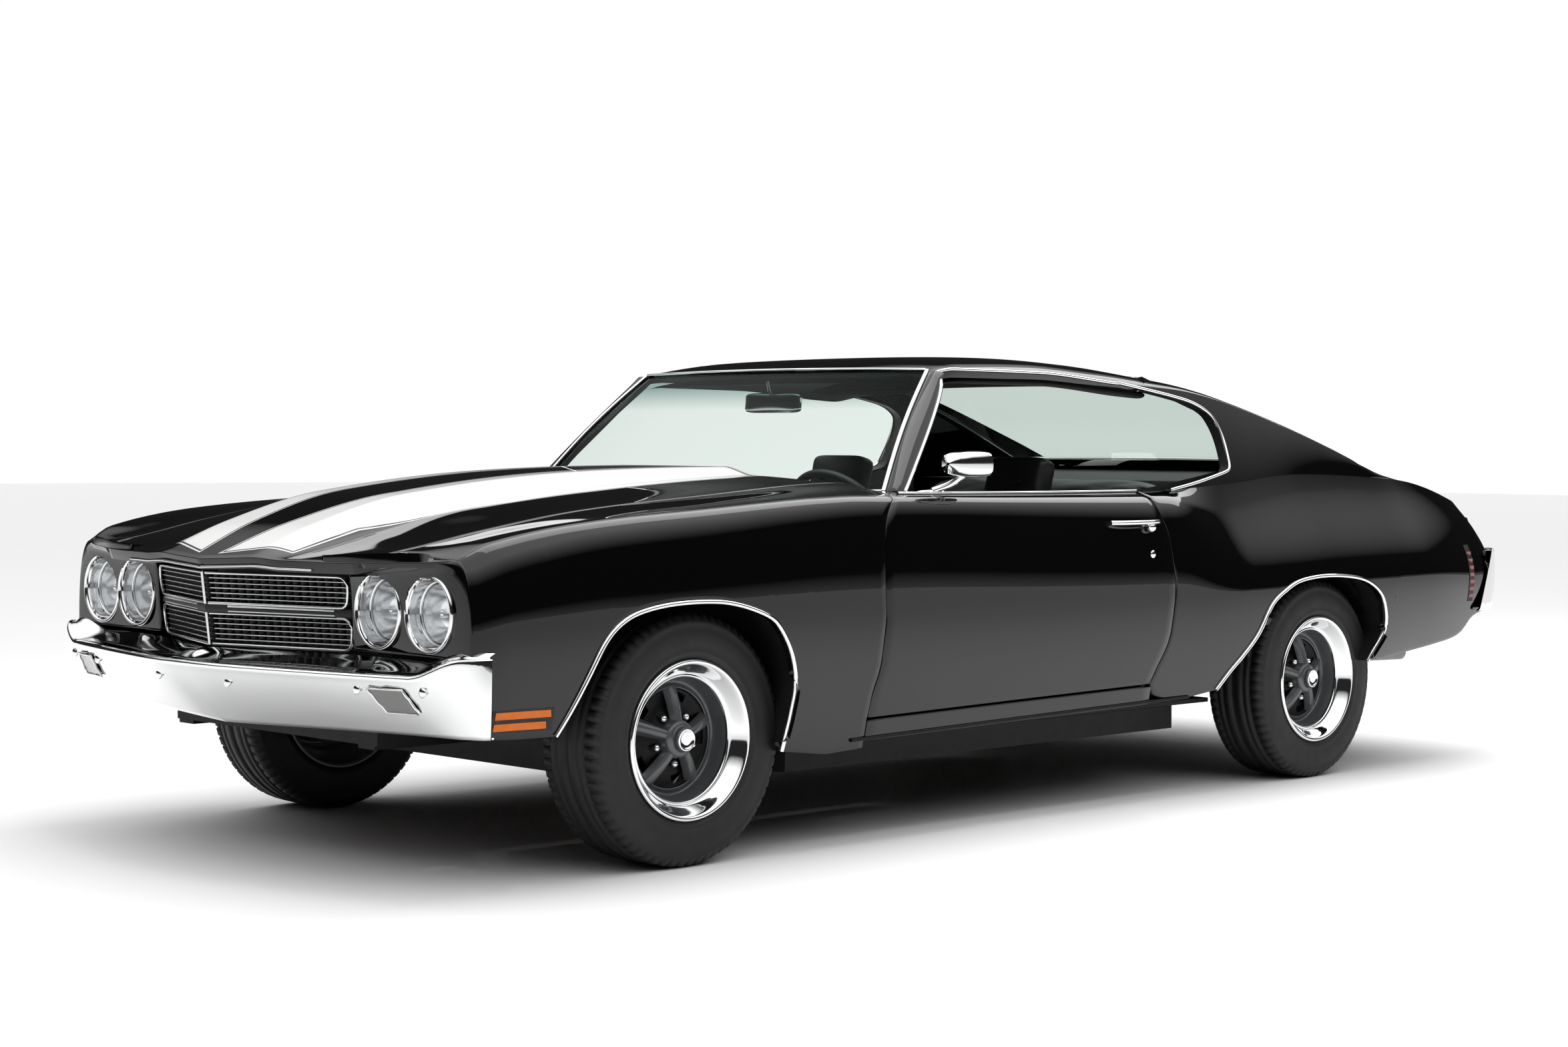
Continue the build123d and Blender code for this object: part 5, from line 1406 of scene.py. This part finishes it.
bm = bmesh.new()
sweep(bm, rear_plan, rear_section, -1)
for vert in bm.verts:
    share = (119 * (757 - vert.co.z) / 240 + 45) / 176
    if vert.co.x > rx(-1108):
        vert.co.x = rx(-1108) + (vert.co.x - rx(-1108)) * share
        limit = SECTION[3](vert.co.x) + 8
        vert.co.y = min(max(vert.co.y, -limit), limit)
finish_piece(bm, "rear_bumper_face", chrome, "body", ("rear_bumper",))
print("bumper ends", [round(c) for c in rows[0][4]])

# %% [markdown]
# Behind the glass lies the trunk lid, a broad shallow panel between two shoulders. The photograph does not
# show its top, so the stripes simply carry on from the hood at one width. The shoulders run on from the
# sails to the tail, and a short panel below the lid closes the body down to the bumper.

# %% Rear deck
lid_paint = striped("paint_striped_lid", lambda x: x * 0.0 + 0.050, lambda x: x * 0.0 + 0.305,
                    lambda x, off: (x * -1.0 + rx(-292) * MM, x - rx(-1062) * MM))
LID_FRONT, LID_REAR = rx(-287), rx(-1072)
lid = []
for j in range(61):
    x = LID_FRONT + (LID_REAR - LID_FRONT) * j / 60
    half = 640 - 30 * max(0, (rx(-285) - x) / 787) - 3
    lid.append([Vector((x, half * (-1 + i / 30), deck_height(x, half * (-1 + i / 30)))) for i in range(61)])
bm = bmesh.new()
verts = add_grid(bm, lid)
fold_edges(bm, lid, verts, 30, inward=(0, 0, -1))
finish_piece(bm, "trunk_lid_skin", lid_paint, "trunk_lid", ("trunk_lid",))



def inner_panel(grid, name, body):
    """Pressed inner panel under a lid: the same grid, smaller and lower, with stiffening ribs."""
    rows, cols = len(grid) - 1, len(grid[0]) - 1
    inner = []
    for j in range(3, rows - 2):
        row = []
        for i in range(3, cols - 2):
            rib = abs(math.sin(3 * math.pi * i / cols)) ** 6 + abs(math.sin(2 * math.pi * j / rows)) ** 6
            row.append(grid[j][i] + Vector((0, 0, -9 - 9 * min(rib, 1))))
        inner.append(row)
    shape = bmesh.new()
    add_grid(shape, inner)
    finish_piece(shape, name, satin_black, body)


inner_panel(hood, "hood_inner_panel", "hood")
inner_panel(lid, "trunk_lid_inner_panel", "trunk_lid")

strip = []
for j in range(41):
    x = SAIL_END + (rx(-1112) - SAIL_END) * j / 40
    inner = 640 - 30 * max(0, (rx(-285) - x) / 787) + 6
    outer = side(x, 2.0)
    edge = deck_height(x, inner)
    row = []
    for i in range(13):
        u = i / 12
        y, z = bezier((inner, edge), (inner + 0.4 * (outer.y - inner), edge),
                      (outer.y - 0.3 * (outer.y - inner), outer.z + 0.35 * (edge - outer.z)),
                      (outer.y, outer.z), u)
        row.append(Vector((x, y, z)))
    strip.append(row)
panel(strip, "deck_side", paint, "body", flange=18, plain=("end", "low"))

sill = [[Vector((rx(-256) - 24 * j / 4, 646 * (-1 + i / 20),
                 deck_height(rx(-256), 640 * (-1 + i / 20)) - 26 * (j / 4) ** 2)) for i in range(41)]
        for j in range(5)]
bm = bmesh.new()
add_grid(bm, sill)
finish_piece(bm, "deck_sill", paint, "body")

TAIL_LINE = ((rx(-1076), 860), (rx(-1094), 836), (rx(-1108), 812), (rx(-1115), 790), (rx(-1117), 742),
             (rx(-1117), 700))
tail = []
for x, z in TAIL_LINE:
    tail.append([Vector((x + 8 * abs(-1 + i / 20) ** 4, 790 * (-1 + i / 20),
                         z - 8 * abs(-1 + i / 20) ** 4)) for i in range(41)])
bm = bmesh.new()
verts = add_grid(bm, tail)
finish_piece(bm, "tail_panel", paint, "body")
print("lid", len(lid), "rows, tail panel from", TAIL_LINE[0][1], "to", TAIL_LINE[-1][1])

# %% [markdown]
# Bright trim frames every opening: rolled strips round the wheel arches, a moulding along the drip rail and
# round the side windows, a strip along the belt and a frame round the windshield. Each is a thin rod bent
# along a line that the panels already use, so it sits exactly on their edges.

# %% Bright mouldings


def rods(name, lines, radius, material, body="body", squeeze=1.0):
    """One piece of round bars along several lines, on both sides of the car."""
    shape = bmesh.new()
    for line in lines:
        tube(shape, line, radius, 8, squeeze)
        tube(shape, flipped(line), radius, 8, squeeze)
    return finish_piece(shape, name, material, body)


def on_side(points, count, out):
    """Line on the body side, moved out a little."""
    return [side(p.x, p.y) + Vector((0, out, 0)) for p in flat(points, count)]


rods("arch_trims", [on_side(arch_front, 70, 2), on_side(arch_rear, 70, 2)], 6.5, chrome)
window_edge = [top(p.x, p.y) + Vector((0, 2, 1)) for p in window_flat(WINDOW_REAR, 60)]
rail_edge = [top(p.x, 1.0) + Vector((0, 3, -1))
             for p in spread([(rx(829), 1, 0), (fx(-1185), 1, 0)], 40, False)]
drip = join(window_edge, rail_edge)
post_line = spread([drip[-1], (fx(-1150), 692, 1262), (fx(-1060), 737, 1160), (fx(-905), 800, 1002),
                    (fx(-868), 812, 964)], 24)
low_edge_line = [top(p.x, p.y) + Vector((0, 2, 1)) for p in window_flat(WINDOW_LOW[1:], 30)]
rods("window_trims", [drip, post_line, low_edge_line], 5.5, chrome)
belt = [side(x, 2.0) + Vector((0, -4, 3))
        for x in [fx(-790) + (rx(922) - fx(-790)) * k / 30 for k in range(31)]]
for hand, body in DOORS.items():
    shape = bmesh.new()
    tube(shape, belt if hand == "left" else flipped(belt), 4.5)
    finish_piece(shape, hand + "_belt_trim", chrome, body)
shield_edge = [shield(1, v / 20) + Vector((3, 5, 3)) for v in range(21)]
shield_head = [shield(1 - k / 10, 1) + Vector((0, 0, 5)) for k in range(11)]
shield_foot = [shield(1 - k / 10, 0) + Vector((4, 0, 3)) for k in range(11)]
rods("shield_trims", [shield_edge, shield_head, shield_foot], 7, chrome, squeeze=0.7)
back_edge = [back_glass(1, v / 20) + Vector((0, 3, 7)) for v in range(21)]
rods("back_glass_trims", [back_edge, [back_glass(k / 10, 1) + Vector((-2, 0, 7)) for k in range(11)],
                          [back_glass(k / 10, 0) + Vector((2, 0, 7)) for k in range(11)]], 6, chrome)
rods("rocker_trims", [on_side([(fx(-560), 292), (rx(760), 318)], 30, 2)], 5, satin_black)
print("trim length", round(sum((b - a).length for a, b in zip(drip[:-1], drip[1:]))),
      "mm along the drip rail")

# %% [markdown]
# Small fittings catch the eye because they are bright on black: the door pull with its round push button,
# the key lock under it and the mirror on its stalk. They are squashed spheres and short bars, smoothed by
# their round sections.

# %% Door handles, locks and mirror


def ball(shape, centre, half):
    """Ellipsoid with three half sizes."""
    made = bmesh.ops.create_uvsphere(shape, u_segments=28, v_segments=16, radius=1.0)
    bmesh.ops.scale(shape, vec=half, verts=made["verts"])
    bmesh.ops.translate(shape, vec=centre, verts=made["verts"])


HANDLE = (rx(935), rx(1168), 868)
for hand, body in DOORS.items():
    way = 1 if hand == "left" else -1
    shape = bmesh.new()
    pull = [side(HANDLE[0] + (HANDLE[1] - HANDLE[0]) * k / 16, level(HANDLE[0], HANDLE[2]))
            + Vector((0, 6 + 24 * math.sin(math.pi * k / 16) ** 0.6, 0))
            for k in range(17)]
    tube(shape, flipped(pull, way), 9, 10, 0.8)
    knob = side(rx(985), level(rx(985), 855))
    ball(shape, Vector((knob.x, way * (knob.y + 12), 852)), (16, 16, 16))
    lock = side(rx(977), level(rx(977), 769))
    ball(shape, Vector((lock.x, way * lock.y, 769)), (12, 5, 12))
    finish_piece(shape, hand + "_door_handle", chrome, body)

head = Vector((fx(-1030), 898, 1043))
shape = bmesh.new()
profile = [(0.0, 0.1), (0.10, 0.72), (0.35, 0.95), (0.7, 1.0), (0.92, 1.0), (1.0, 0.94)]
rings = [[head
          + Vector((78 - 140 * a, 50 * r * math.copysign(abs(math.cos(t)) ** 0.6, math.cos(t)),
                    38 * r * math.copysign(abs(math.sin(t)) ** 0.6, math.sin(t))))
          for t in [2 * math.pi * k / 40 for k in range(40)]] for a, r in profile]
add_grid(shape, rings, closed_rows=True)
shape.faces.new([shape.verts.new(p + Vector((1, 0, 0))) for p in rings[-1]])
tube(shape, spread([(fx(-1025), 890, 1012), (fx(-1000), 862, 985), (fx(-955), 836, 966)], 12), 10)
ball(shape, Vector((fx(-955), 832, 962)), (62, 16, 9))
finish_piece(shape, "mirror_shell", chrome, "left_door", ("door_mirror",))

# %% [markdown]
# The marker lamps are two amber slats at the front and a louvred red lamp at the back. The parking lamps
# sit behind slanted windows in the bumper, next to its big round bolt heads.

# %% Marker and parking lamps
amber_bm, red_bm, dark_bm = bmesh.new(), bmesh.new(), bmesh.new()
for hand in (-1, 1):
    for low, high, cut in ((400, 418, 10), (428, 446, 0)):
        quad = []
        for x, z in ((fx(668), low), (fx(668), high), (fx(512) + cut, high), (fx(508) + cut, low)):
            p = side(x, level(x, z))
            quad.append(Vector((x, hand * (p.y + 2.5), z)))
        front = [amber_bm.verts.new(p) for p in quad]
        back = [amber_bm.verts.new(p + Vector((0, -8 * hand, 0))) for p in quad]
        amber_bm.faces.new(front)
        for k in range(4):
            amber_bm.faces.new((front[k], front[(k + 1) % 4], back[(k + 1) % 4], back[k]))
        add_grid(dark_bm,
                 [[Vector((x, hand * (side(x, level(x, z)).y + 1.2), z))
                   for x in (fx(676), fx(590), fx(500))] for z in (low - 5, high + 5)])
    for k in range(7):
        z = 580 + 25 * k
        p = side(rx(-888), level(rx(-888), z))
        add_grid(red_bm,
                 [[Vector((x, hand * (p.y + 2.5), z + dz)) for x in (rx(-902), rx(-874))]
                  for dz in (-6, 6)])
    add_grid(dark_bm,
             [[Vector((x, hand * (side(x, level(x, z)).y + 1.2), z))
               for x in (rx(-908), rx(-888), rx(-868))]
                       for z in range(560, 761, 20)])
finish_piece(amber_bm, "front_markers", amber, "body", ("side_markers",), smooth=False)
finish_piece(red_bm, "rear_markers", red_lens, "body", smooth=False)
finish_piece(dark_bm, "marker_surrounds", gap_black, "body", smooth=False)


def bumper_face(y, f):
    """Point of the bumper face at a distance off centre, f from its lower edge to its ridge."""
    k = min(range(61), key=lambda n: abs(left_rows[n][2].lerp(left_rows[n][10], f).y - y))
    low, high = left_rows[k][2], left_rows[k][10]
    p = low.lerp(high, f)
    return Vector((p.x + 9 * math.sin(math.pi * f), y, p.z))


lens_bm, bolt_bm = bmesh.new(), bmesh.new()
for hand in (-1, 1):
    grid = []
    for j in range(9):
        f = 0.40 + 0.42 * j / 8
        y0 = 660 - 22 * (j / 8)
        grid.append([bumper_face(y0 + 108 * i / 8, f) + Vector((2.5, 0, 0)) for i in range(9)])
    add_grid(lens_bm, [flipped(row, hand) for row in grid])
    border = grid[0] + [row[-1] for row in grid[1:]]
    border += list(reversed(grid[-1]))[1:] + [row[0] for row in reversed(grid)][1:]
    tube(bolt_bm, [Vector((p.x + 1, hand * p.y, p.z)) for p in border], 3.2, 6)
    for y, f in ((600, 0.78), (800, 0.76), (160, 0.74)):
        p = bumper_face(y, f)
        ball(bolt_bm, Vector((p.x, hand * y, p.z)), (6, 13, 13))
finish_piece(lens_bm, "parking_lenses", smoked_lens, "body", ("parking_lamps",))
finish_piece(bolt_bm, "bumper_bolts", chrome, "body")
print("fittings done")

# %% [markdown]
# The cabin has two bucket seats with head rests and a pleated bench behind them. A seat pad is foam under
# stretched vinyl: its faces are crowned, its sides pull in between the corners, and sewn channels press
# grooves into it. A rounded box gives that form well: each point of a fine cube is pulled to a rounded
# shape, then crowned and grooved.

# %% Seats


def pad(bm, middle, axes, half, crown, channels=0, groove=7.0, cuts=22):
    """Upholstered pad: axes are its length, width and thickness directions, half its three half sizes."""
    before = set(bm.verts)
    made = bmesh.ops.create_cube(bm, size=2.0)
    edges = list({e for v in made["verts"] for e in v.link_edges})
    bmesh.ops.subdivide_edges(bm, edges=edges, cuts=cuts, use_grid_fill=True)
    for vert in [v for v in bm.verts if v not in before]:
        c = vert.co
        pull = (abs(c.x) ** 7 + abs(c.y) ** 7 + abs(c.z) ** 4) ** (-1 / 6)
        p = Vector((c.x * pull, c.y * pull, c.z * pull))
        waist = 1 - 0.035 * (1 - min(abs(p.x), 1) ** 2)
        bulge = crown * (1 - min(p.x * p.x, 1)) * (1 - min(p.y * p.y, 1))
        high = half[2] * p.z + (bulge if p.z > 0 else -0.3 * bulge) * abs(p.z)
        if channels and p.z > 0.3 and abs(p.y) < 0.8:
            place = (p.y / 0.8 + 1) / 2 * channels
            near = abs(place - round(place)) * 1.6 * half[1] / channels
            high -= groove * math.exp(-(near / 9) ** 2)
        place = axes[0] * (half[0] * p.x) + axes[1] * (half[1] * waist * p.y) + axes[2] * high
        vert.co = Vector(middle) + place


def tilted(angle):
    """Length, width and thickness directions of a pad whose length climbs backwards at an angle."""
    lean = math.radians(angle)
    return (Vector((-math.cos(lean), 0, math.sin(lean))), Vector((0, 1, 0)),
            Vector((math.sin(lean), 0, math.cos(lean))))


for hand, way, replaced in (("left", 1, ("front_seats",)), ("right", -1, ())):
    bm = bmesh.new()
    pad(bm, (fx(-1432), way * 395, 378), tilted(-5), (255, 252, 84), 14, 7)
    pad(bm, (fx(-1742), way * 395, 668), tilted(68), (272, 248, 62), 14, 7)
    pad(bm, (fx(-1862), way * 395, 990), tilted(76), (70, 122, 40), 8, 0, cuts=14)
    seat = finish_piece(bm, hand + "_front_seat", vinyl, "body", replaced)
bm = bmesh.new()
pad(bm, (rx(588), 0, 378), tilted(-5), (238, 566, 84), 12, 16)
pad(bm, (rx(424), 0, 700), tilted(76), (292, 566, 58), 12, 16)
bench = finish_piece(bm, "rear_bench", vinyl, "body", ("rear_seat",))
rods("head_rest_posts",
     [[Vector((fx(-1846), 395 + dy, 905)), Vector((fx(-1858), 395 + dy, 950))] for dy in (-60, 60)], 6,
     chrome)
print("bench", len(bench.data.vertices), "points")

# %% [markdown]
# The inside of a car is all trim: padded boards on the doors and beside the bench, a shelf under the back
# glass, sun visors and a mirror on its stalk. The boards are grids that follow the door's own lines, with
# an arm rest pressed out.

# %% Boards, shelf, visors and mirror
for hand, way in (("left", 1), ("right", -1)):
    board = []
    for j in range(31):
        z = 385 + 560 * j / 30
        row = []
        for i in range(41):
            x = fx(-690) + (rx(925) - fx(-690)) * i / 40
            arm = math.exp(-((z - 690) / 40) ** 2) * step((i - 10) / 6) * step((38 - i) / 6)
            ridge = 2.0 * math.exp(-((i % 5 - 2) / 0.8) ** 2) if 430 < z < 640 else 0
            row.append(Vector((x, way * (806 - 46 * arm + ridge), z)))
        board.append(row)
    bm = bmesh.new()
    add_grid(bm, board)
    finish_piece(bm, hand + "_door_board", vinyl, DOORS[hand])
    quarter_board = [[Vector((rx(905) + (rx(300) - rx(905)) * i / 20, way * (742 - 60 * (i / 20) ** 2),
                              420 + (532 + 70 * i / 20) * j / 20))
                      for i in range(21)] for j in range(21)]
    bm = bmesh.new()
    add_grid(bm, quarter_board)
    finish_piece(bm, hand + "_quarter_board", vinyl, "body")
shelf = [[Vector((rx(345) - 560 * j / 10, 610 * (-1 + i / 10), 985 + 30 * (j / 10) ** 2))
          for i in range(21)] for j in range(11)]
bm = bmesh.new()
add_grid(bm, shelf)
finish_piece(bm, "parcel_shelf", vinyl, "body")

bm = bmesh.new()
for way in (-1, 1):
    pad(bm, (fx(-1262), way * 315, 1268), tilted(12), (72, 222, 9), 2, 0, cuts=14)
visors = finish_piece(bm, "sun_visors", headliner, "body")
bm = bmesh.new()
pad(bm, (fx(-1146), 0, 1224), tilted(84), (31, 124, 11), 3, 0, cuts=14)
tube(bm, [Vector((fx(-1146), 0, 1240)), Vector((fx(-1128), 0, 1262)), Vector((fx(-1122), 0, 1292))], 6)
finish_piece(bm, "inside_mirror", bright, "body", ("roof_fittings",))
print("cabin trim ready")

# %% [markdown]
# The tail lamps lie in the rear bumper, one broad red lens on each side in a bright frame. The number plate
# is blank. The tail pipes end in chrome tips under the bumper. The photograph does not show the back, so
# these follow the usual layout.

# %% Tail lamps, plate and tail pipes


def bumper_rear(y, z, out):
    """Point on the rear bumper's face, moved out a little."""
    near = min(rear_plan, key=lambda p: abs(p.y - y))
    return Vector((near.x - 12 - out, y, z))


red_bm, frame_bm = bmesh.new(), bmesh.new()
for way in (-1, 1):
    lens = []
    for j in range(13):
        v = j / 12
        row = []
        for i in range(31):
            u = i / 30
            edge = min(u, 1 - u, v, 1 - v)
            rib = 1.5 * math.sin(u * 30 * math.pi) * step(edge * 20)
            row.append(bumper_rear(way * (478 + 268 * u), 588 + 92 * v, 2 + 8 * step(edge * 14) + rib))
        lens.append(row)
    add_grid(red_bm, lens)
    rim = lens[0] + [row[-1] for row in lens[1:]] + lens[-1][-2::-1] + [row[0] for row in lens[-2::-1]]
    tube(frame_bm, [p + Vector((-2, 0, 0)) for p in rim], 5, 8)
finish_piece(red_bm, "tail_lenses", red_lens, "body", ("tail_lamps",))
finish_piece(frame_bm, "tail_lamp_frames", chrome, "body")

plate = finish_of("blank_plate", (0.62, 0.63, 0.60), 0.35, cloud=14, vary=0.08)
bm = bmesh.new()
pad(bm, (REAR_X + 2, 0, 632), (Vector((0, 0, 1)), Vector((0, 1, 0)), Vector((-1, 0, 0))), (74, 152, 3), 0,
    0, cuts=8)
finish_piece(bm, "blank_plate", plate, "body")
rods("tail_pipe_tips",
     [[Vector((rx(-790), 560, 402)), Vector((rx(-900), 572, 398)), Vector((rx(-1004), 580, 395))]], 31,
     chrome)
print("tail lamps", round(lens[0][0].y), "to", round(lens[0][-1].y))

# %% [markdown]
# What no new skin covers stays as the CAD solid: the frame, the engine, the axles and the inner walls. Each
# takes the finish of the real thing.

# %% Finishes of the remaining solids
NODE_FINISHES = {
    paint: ("header_panel",),
    chrome: ("headlamp_bezels", "front_bumper", "rear_bumper", "door_mirror"),
    satin_black: ("grille", "floor_pan", "inner_fenders", "frame", "radiator", "steering_column"),
    white_lens: ("headlamps", "parking_lamps"),
    red_lens: ("tail_lamps",),
    amber: ("side_markers",),
    engine_red: ("engine",),
    cast_iron: ("driveline", "front_suspension", "left_knuckle", "right_knuckle", "rear_axle"),
    steel: ("exhaust", "fuel_tank"),
    dash_pad: ("dashboard", "steering_wheel", "roof_fittings"),
    vinyl: ("front_seats", "rear_seat"),
    wheel_grey: ("left_front_wheel", "right_front_wheel", "left_rear_wheel", "right_rear_wheel"),
    rubber: ("left_front_tyre", "right_front_tyre", "left_rear_tyre", "right_rear_tyre"),
    gap_black: ("body_shell", "left_fender", "right_fender", "left_door", "right_door", "hood",
                "trunk_lid"),
    window_glass: ("windshield", "rear_window"),
}
for finish, names in NODE_FINISHES.items():
    for name in names:
        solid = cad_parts[name]
        solid.data.materials.clear()
        solid.data.materials.append(finish)
print("solids finished", sum(len(names) for names in NODE_FINISHES.values()))

# %% [markdown]
# The car stands on a pale studio floor under one big soft light. Black paint shows only what it mirrors, so
# the room matters more than the lamps: bright overhead, a dark band at eye level and the pale floor below
# give the bright shoulder line and the dark sides of a car photographed in a studio.

# %% Floor, light and camera
bm = bmesh.new()
bmesh.ops.create_grid(bm, x_segments=1, y_segments=1, size=60)
floor_mesh = bpy.data.meshes.new("floor")
bm.to_mesh(floor_mesh)
bm.free()
floor = bpy.data.objects.new("floor", floor_mesh)
bpy.context.scene.collection.objects.link(floor)
floor_mesh.materials.append(finish_of("studio_floor", (0.86, 0.86, 0.86), 0.3, coat=0.2, cloud=0.7,
                                      vary=0.03, shade=0.02, spec=0.0))
bpy.context.scene.view_settings.view_transform = "Standard"
world = bpy.data.worlds.new("studio")
bpy.context.scene.world = world
world.use_nodes = True
tree = world.node_tree
direction = tree.nodes.new("ShaderNodeTexCoord").outputs["Generated"]
parts = tree.nodes.new("ShaderNodeSeparateXYZ")
tree.links.new(direction, parts.inputs[0])
height = Sock(tree, parts.outputs[2])
glow = height.ramp(0.36, 0.70) * 1.7 + height.ramp(0.03, -0.03) * 0.7 + 0.02
seen = tree.nodes.new("ShaderNodeLightPath")
camera_ray = Sock(tree, seen.outputs["Is Camera Ray"])
strength = camera_ray * 1.0 + (camera_ray * -1.0 + 1.0) * glow
background = tree.nodes["Background"]
background.inputs["Color"].default_value = (1, 1, 1, 1)
tree.links.new(strength.value, background.inputs["Strength"])

lamp = bpy.data.lights.new("ceiling", "AREA")
lamp.shape = "RECTANGLE"
lamp.size, lamp.size_y = 10.0, 3.2
lamp.energy = 260
ceiling = bpy.data.objects.new("ceiling", lamp)
ceiling.location = (-2.6, 0.3, 4.6)
bpy.context.scene.collection.objects.link(ceiling)

YAW, PITCH, ROLL = -2.353, -0.0283, 0.0076
PHOTO_WIDTH = 2349
FOCAL_LENGTH = 3945.95
SENSOR_WIDTH = 36
SHIFT_ACROSS, SHIFT_UP = 4.63, 1.56
CAMERA_AHEAD, CAMERA_LEFT, CAMERA_HEIGHT = 6025.75, 5823.40, 1078.55
ahead = Vector((math.cos(PITCH) * math.cos(YAW), math.cos(PITCH) * math.sin(YAW), math.sin(PITCH)))
right = ahead.cross(Vector((0, 0, 1))).normalized()
up = right.cross(ahead)
right, up = right * math.cos(ROLL) + up * math.sin(ROLL), up * math.cos(ROLL) - right * math.sin(ROLL)
camera_data = bpy.data.cameras.new("camera")
camera_data.sensor_width = SENSOR_WIDTH
camera_data.lens = FOCAL_LENGTH / PHOTO_WIDTH * SENSOR_WIDTH
camera_data.shift_x = SHIFT_ACROSS / PHOTO_WIDTH
camera_data.shift_y = SHIFT_UP / PHOTO_WIDTH
camera = bpy.data.objects.new("camera", camera_data)
middle = (FRONT_AXLE[0] + REAR_AXLE[0]) / 2
place = Vector((middle + CAMERA_AHEAD, CAMERA_LEFT, CAMERA_HEIGHT)) * MM
camera.matrix_world = Matrix((
    (right.x, up.x, -ahead.x, place.x), (right.y, up.y, -ahead.y, place.y),
    (right.z, up.z, -ahead.z, place.z), (0, 0, 0, 1)))
bpy.context.scene.collection.objects.link(camera)
bpy.context.scene.camera = camera
